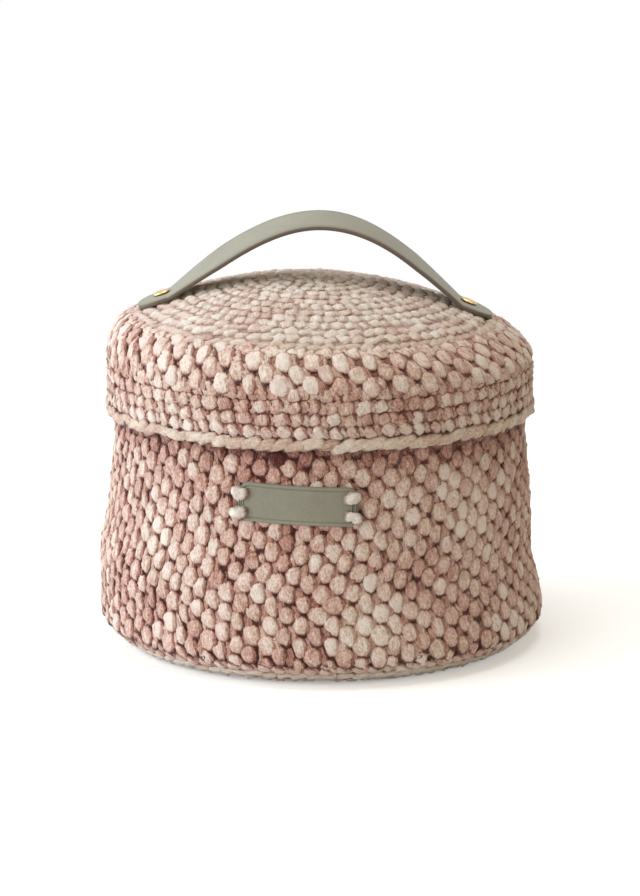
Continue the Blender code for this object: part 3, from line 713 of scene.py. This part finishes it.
def paint_label_slot_shade(mat):
    """Painted shade: two short dark marks between the stitches at each end of the label, where
    its slots lie in shade.
    """
    tree = mat.node_tree
    shader = tree.nodes["Principled BSDF"]
    old = shader.inputs["Base Color"].links[0].from_socket
    split = add_node(tree, "ShaderNodeSeparateXYZ", {"Vector": object_place(tree)}).outputs
    turn = math_node(tree, "ARCTAN2", split["Y"], split["X"])
    radius = wall_radius(LABEL_Z)
    along = math_node(tree, "MULTIPLY_ADD", turn, radius, -LABEL_TURN * radius)
    height = math_node(tree, "ADD", split["Z"], -LABEL_Z)
    c, s = math.cos(LABEL_TILT), math.sin(LABEL_TILT)
    u = math_node(tree, "MULTIPLY_ADD", height, s, math_node(tree, "MULTIPLY", along, c))
    v = math_node(tree, "MULTIPLY_ADD", along, -s, math_node(tree, "MULTIPLY", height, c))
    far = math_node(tree, "ABSOLUTE", u)
    tall = math_node(tree, "LESS_THAN", math_node(tree, "ABSOLUTE", v), SLOT_HALF_HIGH)
    slot_shade = 0.0
    for place in SLOT_PLACES:
        off = math_node(tree, "ABSOLUTE", math_node(tree, "ADD", far, -place))
        slot_shade = math_node(tree, "ADD", math_node(tree, "LESS_THAN", off, SLOT_HALF_WIDE), slot_shade)
    slot_shade = math_node(tree, "MULTIPLY", slot_shade, tall, clamp=True)
    slot_shade = math_node(tree, "MULTIPLY", slot_shade, SLOT_SHADE)
    colour = mix_colours(tree, slot_shade, old, (*srgb(52, 50, 42), 1))
    tree.links.new(colour, shader.inputs["Base Color"])


def brass_material():
    mat, tree, shader = new_material("brass_polished")
    cloud = noise(tree, object_place(tree), 260.0, 3.0)
    colour = ramp(tree, cloud, palette((0.3, 200, 164, 104), (0.7, 230, 200, 146)))
    tree.links.new(colour, shader.inputs["Base Color"])
    shader.inputs["Metallic"].default_value = 1.0
    rough = math_node(tree, "MULTIPLY_ADD", cloud, 0.12, 0.2)
    tree.links.new(rough, shader.inputs["Roughness"])
    return mat


# Yarn colour ramps, from the deep colour that the creases' painted shade picks to the pale
# crests.
PINK = palette(
    (0.0, 88, 38, 32), (0.2, 148, 90, 80), (0.44, 188, 136, 123),
    (0.64, 209, 167, 154), (0.84, 226, 197, 185), (1.0, 238, 220, 211),
)
CREAM = palette(
    (0.0, 88, 46, 36), (0.2, 150, 102, 86), (0.44, 187, 148, 130),
    (0.64, 209, 180, 162), (0.84, 227, 207, 191), (1.0, 241, 229, 220),
)
DEEP = palette(
    (0.0, 96, 48, 40), (0.25, 142, 90, 78), (0.5, 170, 120, 104),
    (0.75, 198, 160, 142), (1.0, 222, 198, 180),
)
PALE = palette(
    (0.0, 104, 62, 52), (0.22, 158, 114, 100), (0.45, 194, 154, 138),
    (0.7, 216, 186, 168), (1.0, 236, 218, 202),
)
# Painted light: the crown's copies of the yarn colours are paler, with lighter creases, for the
# light that falls on it from above.
CROWN_LIT_PINK = palette(
    (0.0, 154, 112, 101), (0.22, 190, 150, 138), (0.45, 209, 177, 165),
    (0.7, 221, 200, 189), (1.0, 238, 229, 223),
)
CROWN_LIT_CREAM = palette(
    (0.0, 152, 126, 104), (0.22, 188, 164, 142), (0.45, 208, 189, 168),
    (0.7, 221, 208, 190), (1.0, 237, 230, 219),
)
WHITE = palette((0.0, 166, 134, 122), (0.4, 214, 190, 178), (1.0, 246, 236, 228))

yarn = yarn_material("yarn_pink", PINK, CREAM)
yarn_deep = yarn_material("yarn_deep", DEEP, CREAM, side_shade=0.0)
yarn_light = yarn_material("yarn_light", PALE, CREAM, side_shade=0.0)
# The crown's yarn takes the paler copies, as painted light from above.
yarn_crown_lit = yarn_material("yarn_crown_lit", CROWN_LIT_PINK, CROWN_LIT_CREAM, side_shade=0.1)
yarn_pale = yarn_material("yarn_pale", WHITE, WHITE, side_shade=0.0)
strap_leather = leather_material(
    "leather_strap", srgb(123, 120, 107), srgb(150, 147, 134), srgb(92, 76, 62), 1.0
)
label_leather = leather_material(
    "leather_label", srgb(117, 114, 100), srgb(141, 137, 122), srgb(96, 88, 72), 0.8
)
paint_label_slot_shade(label_leather)
brass = brass_material()


def finish_piece(pile, name, material, slot, body, *nodes):
    obj = pile.make(name, material, slump_lid if body == "lid" else slump_basket)
    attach(obj, body)
    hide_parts(*nodes)


def under_label(at):
    """How far the puffs under the label are pressed in, in metres."""
    along = (np.arctan2(at[:, 1], at[:, 0]) - LABEL_TURN) * wall_radius(LABEL_Z)
    c, s = math.cos(LABEL_TILT), math.sin(LABEL_TILT)
    u = along * c + (at[:, 2] - LABEL_Z) * s
    v = (at[:, 2] - LABEL_Z) * c - along * s
    far = np.maximum(np.abs(u) - LABEL_HALF, np.abs(v) - LABEL_HALF_HIGH)
    return PRESS_DEEP * np.clip((PRESS_REACH - far) / PRESS_FADE, 0, 1)


def make_wall():
    """Staggered puffs outside, plain rounds inside."""
    pile, rng = Pile(), np.random.default_rng(11)
    low_z = BRAID_TOP_Z + SEAT_GAP
    high = WALL_TOP_Z - low_z
    rows = int(high / HALF_COURSE)
    step = high / rows
    for row in range(rows):
        z = low_z + step * (row + 1)
        if row == rows - 1:
            z -= 0.4 * MM
        r, out, up = wall_frame(z)
        at, o, u, s = ring_frames(PUFFS, r, z, out, up, row_turn(row))
        at = at - o * under_label(at)[:, None]
        # Painted shade: the top rows take darker tones for the shadow that the rim casts on them.
        from_top = rows - 1 - row
        deep = UNDER_RIM_SHADE[from_top] if from_top < len(UNDER_RIM_SHADE) else 0
        for n, spec in enumerate(PUFF):
            sink, cut = (FOOT_SINK + FOOT_SINK_MORE * n, FOOT_CUT) if row == 0 else (0, 0)
            spec = (*spec[:2], spec[2] - sink, spec[3] - cut, *spec[4:8], spec[8] + deep)
            smooth = {} if row else SMOOTH_FOOT
            rings, around = 12 - n, 14 - 2 * n
            add_lobes(
                pile, rng, at, o, u, s, spec, rings, around, point=0.46, wild=1.3, **smooth
            )
    # Small stitches that fill in under the bottom row.
    r, out, up = wall_frame(low_z + 0.4 * step)
    z, turn = low_z + 0.5 * step, (1 - LEAN_SHARE) * COLUMN_TURN
    stitch_ring(pile, rng, COLUMNS, r, z, out, up, SEED, turn, **SMOOTH_SEED)
    for i in range(WALL_LINING_ROWS):
        z = low_z + high * (i + 0.5) / WALL_LINING_ROWS
        r, out, up = wall_frame(z)
        r, turn = r - LINING_DEEP, i * LINING_TURN
        lining_ring(pile, rng, COLUMNS, r, z, opposite(out), up, WALL_LINING, turn)
    heights = np.linspace(low_z + 0.6 * MM, WALL_TOP_Z - 0.4 * MM, 14)
    add_band(pile, wall_loop(heights, 1.4 * MM, 7.0 * MM), crest=0.55)
    finish_piece(pile, "wall_yarn", yarn, "yarn", "basket", "wall")


def make_base():
    """The disc of 15 rounds, with stitches on both sides."""
    pile, rng = Pile(), np.random.default_rng(12)
    width = BASE_R / ROUNDS
    for n in range(1, ROUNDS + 1):
        r, turn = width * (n - 0.5), UNDER_ROUND_TURN * n
        for z, out in ((BASE_THICK, UPWARD), (UNDERSIDE_Z, DOWNWARD)):
            lining_ring(pile, rng, GROWTH * n, r, z, out, INWARD, BASE_LINING, turn)
    add_band(pile, box_loop(0.5 * MM, BASE_R - 1 * MM, 2 * MM, 4.4 * MM))
    finish_piece(pile, "base_yarn", yarn_deep, "yarn_deep", "basket", "base_disc")


def make_base_braid():
    """Two rows of strands round the bottom edge."""
    pile, rng = Pile(), np.random.default_rng(13)
    for z, specs, turn in ((4.4 * MM, BASE_STRAND, 0), (1.7 * MM, LOW_STRAND, COLUMN_TURN / 2)):
        r, out, up = wall_frame(z)
        stitch_ring(pile, rng, COLUMNS, r - 0.2 * MM, z, out, up, specs, turn, around=9)
    r, z = BASE_R + 2.4 * MM, 0.2 * MM
    lining_ring(pile, rng, COLUMNS, r, z, DOWNWARD, OUTWARD, BRAID_LINING)
    r = BASE_R + 0.4 * MM
    add_band(pile, [(r, 1.2 * MM), *BRAID_CORE, (r, 5.4 * MM)])
    finish_piece(pile, "base_braid_yarn", yarn_light, "yarn_deep", "basket", "base_braid")


def make_collar():
    """Rows of single crochet under the lid."""
    pile, rng = Pile(), np.random.default_rng(14)
    low_z, high_z = WALL_TOP_Z + SEAT_GAP, COLLAR_TOP_Z
    for i in range(COLLAR_ROWS):
        z = low_z + (high_z - low_z) * (i + 0.5) / COLLAR_ROWS
        r, out, up = wall_frame(z)
        turn = i * 0.5 * COLUMN_TURN
        stitch_ring(
            pile, rng, COLUMNS, r - 0.3 * MM, z, out, up, SINGLE, turn, rings=6, around=8
        )
        r, turn = r - COLLAR_LINING_DEEP, i * LINING_TURN
        lining_ring(pile, rng, COLUMNS, r, z, opposite(out), up, WALL_LINING, turn)
    heights = (low_z + 0.5 * MM, high_z - 0.4 * MM)
    add_band(pile, wall_loop(heights, 2.0 * MM, 5.0 * MM))
    finish_piece(pile, "collar_yarn", yarn, "yarn", "basket", "collar")


def make_collar_edge():
    """The braid on the collar that the lid rests on."""
    pile, rng = Pile(), np.random.default_rng(15)
    z = (EDGE_LOW_Z + LEDGE_Z - SEAT_GAP) / 2
    for r, out in ((EDGE_OUT_R, OUTWARD), (EDGE_IN_R, INWARD)):
        stitch_ring(pile, rng, COLUMNS, r, z, out, UPWARD, COLLAR_STRAND, rings=7, around=8)
    add_band(pile, COLLAR_CORE)
    finish_piece(pile, "collar_edge_yarn", yarn_light, "yarn_light", "basket", "collar_edge")


def make_rim():
    """Rope braid round the lid's lower edge."""
    pile, rng = Pile(), np.random.default_rng(16)
    z = (RIM_BOTTOM_Z + RIM_TOP_Z) / 2
    stitch_ring(pile, rng, COLUMNS, RIM_YARN_R, z, OUTWARD, UPWARD, RIM_STRAND, rings=11)
    lining_ring(pile, rng, COLUMNS, LID_IN_R + 0.1 * MM, z, INWARD, UPWARD, RIM_LINING)
    low_z, high_z = RIM_BOTTOM_Z + 0.7 * MM, RIM_TOP_Z - 0.3 * MM
    add_band(pile, box_loop(LID_CORE_IN_R, RIM_CORE_OUT_R, low_z, high_z))
    finish_piece(pile, "rim_yarn", yarn_light, "yarn_light", "lid", "lid_rim_braid")


def make_skirt():
    """Three rows of single crochet."""
    pile, rng = Pile(), np.random.default_rng(17)
    low_z = RIM_TOP_Z + SEAT_GAP
    step = (SKIRT_TOP_Z - low_z) / SKIRT_ROWS
    for i, specs in enumerate(SKIRT_STITCHES):
        z = low_z + step * (i + 0.5)
        r, turn = SKIRT_R + 0.1 * MM, SKIRT_ROW_TURN * i
        stitch_ring(
            pile, rng, SKIRT_COUNT, r, z, OUTWARD, UPWARD, specs, turn,
            rings=10, around=13, wild=1.3, point=0.24,
        )
        r, turn = LID_IN_R + 0.1 * MM, LINING_TURN * i
        lining_ring(pile, rng, COLUMNS, r, z, INWARD, UPWARD, SKIRT_LINING, turn)
    low_z, high_z = low_z + 0.2 * MM, SKIRT_TOP_Z - 0.2 * MM
    add_band(pile, box_loop(LID_CORE_IN_R, SKIRT_CORE_OUT_R, low_z, high_z))
    finish_piece(pile, "skirt_yarn", yarn, "yarn", "lid", "lid_skirt")


def make_shoulder():
    """A row of fillers, three staggered rows of large puffs and a row of fillers above them."""
    pile, rng = Pile(), np.random.default_rng(18)
    r, z, out, up = shoulder_frame(LOW_FILLER_ARC)
    stitch_ring(pile, rng, PUFFS, r, z, out, up, LOW_FILLER)
    for row in range(1, SHOULDER_ROWS):
        r, z, out, up = shoulder_frame(SHOULDER_FIRST + SHOULDER_STEP * row)
        stitch_ring(
            pile, rng, PUFFS, r, z, out, up, BIG_PUFF, row_turn(row),
            rings=13, around=16, point=0.36,
        )
    arc = SHOULDER_FIRST + SHOULDER_STEP * SHOULDER_ROWS - HIGH_FILLER_BACK
    r, z, out, up = shoulder_frame(arc)
    stitch_ring(
        pile, rng, PUFFS, r, z, out, up, HIGH_FILLER, row_turn(SHOULDER_ROWS),
        rings=10, around=12, rough=0.12,
    )
    loop = []
    for arc in np.linspace(0.3 * MM, SHOULDER_RADIUS * SHOULDER_TURN - 0.4 * MM, 9):
        r, z, out, up = shoulder_frame(arc)
        loop.append((r - CORE_DEEP * out[0], z - CORE_DEEP * out[1]))
    add_band(pile, [*loop, *LEDGE_CORE])
    z = LEDGE_Z + 0.2 * MM
    lining_ring(pile, rng, COLUMNS, LEDGE_R, z, DOWNWARD, INWARD, LEDGE_LINING)
    r, z = LID_IN_R + 0.2 * MM, SHOULDER_LINING_Z
    lining_ring(pile, rng, COLUMNS, r, z, INWARD, UPWARD, SHOULDER_LINING)
    finish_piece(pile, "shoulder_yarn", yarn, "yarn", "lid", "lid_shoulder")


def make_crown():
    """15 rounds of single crochet, the outer ones lying flatter."""
    pile, rng = Pile(), np.random.default_rng(19)
    width = CROWN_YARN_R / ROUNDS
    for n in range(1, ROUNDS + 1):
        r = width * (n - 0.5)
        z, out, up = crown_frame(r)
        specs = FLAT_STRAND if n < ROUNDS else EDGE_STRAND
        if n < FLAT_ROUNDS_FROM:
            specs = BEAD
        stitch_ring(
            pile, rng, GROWTH * n, r, z, out, up, specs, ROUND_TURN * n,
            rings=8, around=12, flat=0.6, wild=1.5, rough=0.14,
        )
        z, turn = z - CROWN_THICK, UNDER_ROUND_TURN * n
        lining_ring(pile, rng, GROWTH * n, r, z, opposite(out), up, CROWN_LINING, turn)
    radii = np.linspace(CROWN_CORE_IN_R, CROWN_CORE_R, 16)
    loop = [(r, crown_height(r) - CORE_DEEP) for r in radii]
    loop += [CROWN_CORE_FOOT]
    loop += [(r, crown_height(r) - CROWN_THICK + CROWN_CORE_UP) for r in radii[-2::-1]]
    add_band(pile, loop)
    finish_piece(pile, "crown_yarn", yarn_crown_lit, "yarn", "lid", "lid_crown")


def label_place(u, v, depth):
    """A point u along the label and v up it, that far out from the puffs."""
    c, s = math.cos(LABEL_TILT), math.sin(LABEL_TILT)
    along, up = u * c - v * s, u * s + v * c
    z = LABEL_Z + up
    r = wall_radius(z) + SEAT_GAP + depth
    a = LABEL_TURN + along / wall_radius(LABEL_Z)
    return Vector((r * math.cos(a), r * math.sin(a), z))


def make_tag_stitches():
    """Four short stitches over the label's ends, slanting towards its middle."""
    number = 1
    up = np.array([[0, 0, 1.0]])
    for side in (-1, 1):
        for v in (TAG_STITCH_APART, -TAG_STITCH_APART):
            pile, rng = Pile(), np.random.default_rng(30 + number)
            mid = label_place(side * (LABEL_HALF - 1.4 * MM), v, LABEL_THICK + 2.2 * MM)
            out = Vector((mid.x, mid.y, 0)).normalized()
            along = np.array([Vector((-out.y, out.x, 0))])
            tilt = 90 - 14 * side * (1 if v > 0 else -1)
            spec = (0, 0, 0.5, 9.4, 5.8, 4.2, tilt, 0.0, 0.6)
            add_lobes(
                pile, rng, np.array([mid]), np.array([out]), up, along, spec,
                rings=14, around=14, point=0.3, lumps=0.26, rough=0.26,
            )
            name, node = f"tag_stitch_yarn_{number}", f"label_stitch_{number}"
            finish_piece(pile, name, yarn_pale, "yarn_pale", "basket", node)
            number += 1


def strap_path():
    """Centres, directions along and across, and half widths along the strap, from the left."""
    step = STRAP_FLAT_FROM / STRAP_STEPS
    seat = SEAT_GAP + STRAP_THICK / 2
    flat_slope = crown_slope(STRAP_FLAT_FROM)
    lift = seat * math.hypot(1, flat_slope)
    heights = np.zeros(STRAP_STEPS + 1)
    heights[STRAP_STEPS] = crown_height(STRAP_FLAT_FROM) + lift
    for i in range(STRAP_STEPS - 1, -1, -1):
        x = step * (i + 0.5)
        if x < STRAP_BEND_TO:
            slope = STRAP_SLOPE * math.sin(math.pi / 2 * x / STRAP_BEND_TO)
        else:
            share = (x - STRAP_BEND_TO) / (STRAP_FLAT_FROM - STRAP_BEND_TO)
            slope = STRAP_SLOPE + (flat_slope - STRAP_SLOPE) * (1 - math.cos(math.pi * share)) / 2
        heights[i] = heights[i + 1] + slope * step
    inner = STRAP_HALF - STRAP_END_RADIUS
    turn = np.linspace(0, math.pi / 2, STRAP_END_STATIONS)[1:]
    reach = inner + STRAP_END_RADIUS * np.sin(turn)
    far = np.concatenate([np.linspace(0, inner, STRAP_STATIONS), reach])
    x = np.concatenate([-far[:0:-1], far])
    base, top = heights[STRAP_STEPS], heights[0]
    places = step * np.arange(STRAP_STEPS + 1)

    def centre(x):
        r = np.abs(x)
        lying = r > STRAP_FLAT_FROM
        z = np.where(lying, crown_height(r) + lift, np.interp(r, places, heights))
        share = np.where(lying, 0, (z - base) / (top - base))
        y = -math.tan(STRAP_LEAN) * np.where(share > 0, z - base, 0)
        return np.stack([x - STRAP_SWAY * share, y, z], -1), share

    mid, share = centre(x)
    along = centre(x + step)[0] - centre(x - step)[0]
    along /= np.linalg.norm(along, axis=1)[:, None]
    lean = STRAP_LEAN * np.minimum(1, share * 2)
    lean = lean - STRAP_TWIST * np.sign(x) * 4 * share * (1 - share)
    across = np.stack([0 * lean, np.cos(lean), np.sin(lean)], -1)
    across -= along * (across * along).sum(1)[:, None]
    across /= np.linalg.norm(across, axis=1)[:, None]
    over = np.clip((np.abs(x) - inner) / STRAP_END_RADIUS, 0, 1)
    half = STRAP_WIDTH / 2 - STRAP_END_RADIUS * (1 - np.sqrt(np.maximum(0, 1 - over**2)))
    return mid, along, across, half


def make_strap():
    """The leather band, with rounded edges and a slight cup across its width."""
    mid, along, across, half = strap_path()
    up = np.cross(along, across)
    up *= np.sign(up[:, 2])[:, None]
    thick = STRAP_THICK / 2
    a = np.linspace(0, math.pi / 2, 5)
    corner_w = STRAP_EDGE * np.sin(a) - STRAP_EDGE
    corner = np.stack([corner_w, thick - STRAP_EDGE + STRAP_EDGE * np.cos(a)], -1)
    flat = np.stack([np.linspace(-1, 1, 9)[1:-1], np.full(7, thick)], -1)
    loops, edges = [], []
    for m, c, u, h in zip(mid, across, up, half):
        right = [(h + w, n) for w, n in corner]
        left = [(-w, n) for w, n in right[::-1]]
        topside = [(f * (h - STRAP_EDGE), n) for f, n in flat]
        outline = left + topside + right
        outline += [(w, -n) for w, n in outline[::-1]]
        cup = [STRAP_CUP * (w / h) ** 2 for w, n in outline]
        loops.append([m + c * w + u * (n - k) for (w, n), k in zip(outline, cup)])
        edges.append([1 - min(1, (h - abs(w)) / STRAP_EDGE_DARK) for w, n in outline])
    verts = np.array(loops)
    count, around = verts.shape[:2]
    verts = np.concatenate([verts.reshape(-1, 3), mid[:1], mid[-1:]])
    quads, caps = tube_faces(count, around)
    edge = np.concatenate([np.array(edges).ravel(), [0, 0]])
    pile = Pile()
    # The outline runs the other way round than a lobe's, so the quads are turned.
    pile.add(verts, [quads[:, [0, 3, 2, 1]], caps], edge, 0 * edge, verts * 1000)
    finish_piece(pile, "strap_band", strap_leather, "strap_leather", "lid", "handle_strap")


def make_rivets():
    """Domed brass caps on the strap and plain discs inside the lid."""
    slope = crown_slope(RIVET_X)
    long = math.hypot(1, slope)
    head_z = SEAT_GAP * 2 + STRAP_THICK + CAP_LIFT
    back_z = -CROWN_THICK - SEAT_GAP
    cap = [(CAP_FOOT_R, head_z), (CAP_R, head_z + CAP_FOOT_HIGH)]
    for t in np.linspace(0, math.pi / 2, 9)[:-1]:
        cap.append((CAP_R * math.cos(t), head_z + CAP_RIM_HIGH + CAP_DOME_HIGH * math.sin(t)))
    back = [(r * MM, back_z - deep * MM) for r, deep in BACK_PROFILE]
    turn = np.linspace(0, 2 * math.pi, RIVET_SIDES + 1)[:-1]
    for side, word in ((-1, "left"), (1, "right")):
        out = np.array([side * slope, 0, 1]) / long
        across = np.array([out[2], 0, -out[0]])
        start = np.array([side * RIVET_X, 0, crown_height(RIVET_X)])
        ring = np.cos(turn)[:, None] * across + np.sin(turn)[:, None] * np.array([0, 1, 0])
        for part, profile, low, high in (
            ("cap", cap, head_z, head_z + CAP_HIGH),
            ("back", back, back_z - BACK_THICK, back_z),
        ):
            verts = np.array([start + ring * r + out * h for r, h in profile])
            ends = np.array([start + out * low, start + out * high])
            verts = np.concatenate([verts.reshape(-1, 3), ends])
            zero = np.zeros(len(verts))
            pile = Pile()
            faces = tube_faces(len(profile), RIVET_SIDES)
            pile.add(verts, faces, zero, zero, verts * 1000)
            name, node = f"rivet_{part}_{word}_brass", f"rivet_{part}_{word}"
            finish_piece(pile, name, brass, "brass", "lid", node)


make_wall()
make_base()
make_base_braid()
make_collar()
make_collar_edge()
make_rim()
make_skirt()
make_shoulder()
make_crown()
make_tag_stitches()
make_strap()
make_rivets()
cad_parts["label_tag"].material_slots[0].material = label_leather


# The studio: a pale floor that fades out, soft light and the photograph's camera.
FLOOR_HALF = 12.0
FLOOR_COLOUR = (0.86, 0.86, 0.86, 1)
FLOOR_GLOW = 0.35
WORLD_COLOUR = (1, 0.89, 0.68, 1)
WORLD_STRENGTH = 0.28
WORLD_SEEN_MORE = 0.72
WHITE_LIGHT = (1.0, 1.0, 1.0)
AIM = (0, 0, 0.1)
# Lamps: name, place, size, power and colour.
LAMPS = (
    ("key", (-1.3, -1.05, 0.8), 1.8, 15.0, WHITE_LIGHT),
    ("side", (-1.7, 0.0, 0.5), 2.0, 36.0, (0.82, 0.94, 1.0)),
    ("fill", (1.25, -1.1, 0.9), 0.8, 4.2, (1.0, 0.9, 0.62)),
    ("top", (0.0, 0.1, 1.7), 1.2, 14.0, WHITE_LIGHT),
)
CAMERA_PLACE = (-0.001, -1.600, 0.4474)
CAMERA_DOWN = 12.437
CAMERA_LENS = 129.8
CAMERA_SENSOR = 36.0


def seen_rays(tree):
    """1 for the rays that show the background: to the camera, in gloss and through glass."""
    path = add_node(tree, "ShaderNodeLightPath").outputs
    seen = math_node(tree, "MAXIMUM", path["Is Camera Ray"], path["Is Glossy Ray"])
    return math_node(tree, "MAXIMUM", seen, path["Is Transmission Ray"])


def make_floor():
    mesh = bpy.data.meshes.new("floor")
    far = FLOOR_HALF
    corners = [(-far, -far, 0), (far, -far, 0), (far, far, 0), (-far, far, 0)]
    mesh.from_pydata(corners, [], [(0, 1, 2, 3)])
    floor = bpy.data.objects.new("floor", mesh)
    bpy.context.scene.collection.objects.link(floor)
    mat, tree, shader = new_material("floor_pale")
    shader.inputs["Base Color"].default_value = FLOOR_COLOUR
    shader.inputs["Roughness"].default_value = 1.0
    shader.inputs["Specular IOR Level"].default_value = 0.0
    inputs = {"Color": (1, 1, 1, 1), "Strength": FLOOR_GLOW}
    glow = add_node(tree, "ShaderNodeEmission", inputs).outputs[0]
    dark = add_node(tree, "ShaderNodeEmission", {"Strength": 0.0}).outputs[0]
    inputs = {0: seen_rays(tree), 1: dark, 2: glow}
    pick = add_node(tree, "ShaderNodeMixShader", inputs).outputs[0]
    both = add_node(tree, "ShaderNodeAddShader", {0: shader.outputs[0], 1: pick}).outputs[0]
    inputs = {0: object_place(tree)}
    far_out = add_node(tree, "ShaderNodeVectorMath", inputs, operation="LENGTH").outputs["Value"]
    fade = math_node(tree, "MULTIPLY_ADD", far_out, 2.2, -0.7, clamp=True)
    clear = add_node(tree, "ShaderNodeBsdfTransparent").outputs[0]
    whole = add_node(tree, "ShaderNodeMixShader", {0: fade, 1: both, 2: clear}).outputs[0]
    tree.links.new(whole, tree.nodes["Material Output"].inputs["Surface"])
    mesh.materials.append(mat)


def make_world():
    world = bpy.data.worlds.new("studio")
    world.use_nodes = True
    tree = world.node_tree
    back = tree.nodes["Background"]
    seen = seen_rays(tree)
    strength = math_node(tree, "MULTIPLY_ADD", seen, WORLD_SEEN_MORE, WORLD_STRENGTH)
    tree.links.new(strength, back.inputs["Strength"])
    tree.links.new(mix_colours(tree, seen, WORLD_COLOUR, (1, 1, 1, 1)), back.inputs["Color"])
    bpy.context.scene.world = world


def make_lamps():
    for name, place, size, power, colour in LAMPS:
        data = bpy.data.lights.new(name, "AREA")
        data.shape = "DISK"
        data.size = size
        data.energy = power
        data.color = colour
        lamp = bpy.data.objects.new(name, data)
        bpy.context.scene.collection.objects.link(lamp)
        lamp.location = place
        aim = Vector(AIM) - Vector(place)
        lamp.rotation_euler = aim.to_track_quat("-Z", "Y").to_euler()


def make_camera():
    data = bpy.data.cameras.new("camera")
    data.lens = CAMERA_LENS
    data.sensor_width = CAMERA_SENSOR
    camera = bpy.data.objects.new("camera", data)
    camera.location = CAMERA_PLACE
    camera.rotation_euler = (math.radians(90 - CAMERA_DOWN), 0, 0)
    bpy.context.scene.collection.objects.link(camera)
    bpy.context.scene.camera = camera


make_floor()
make_world()
make_lamps()
make_camera()
bpy.context.scene.view_settings.view_transform = "Standard"
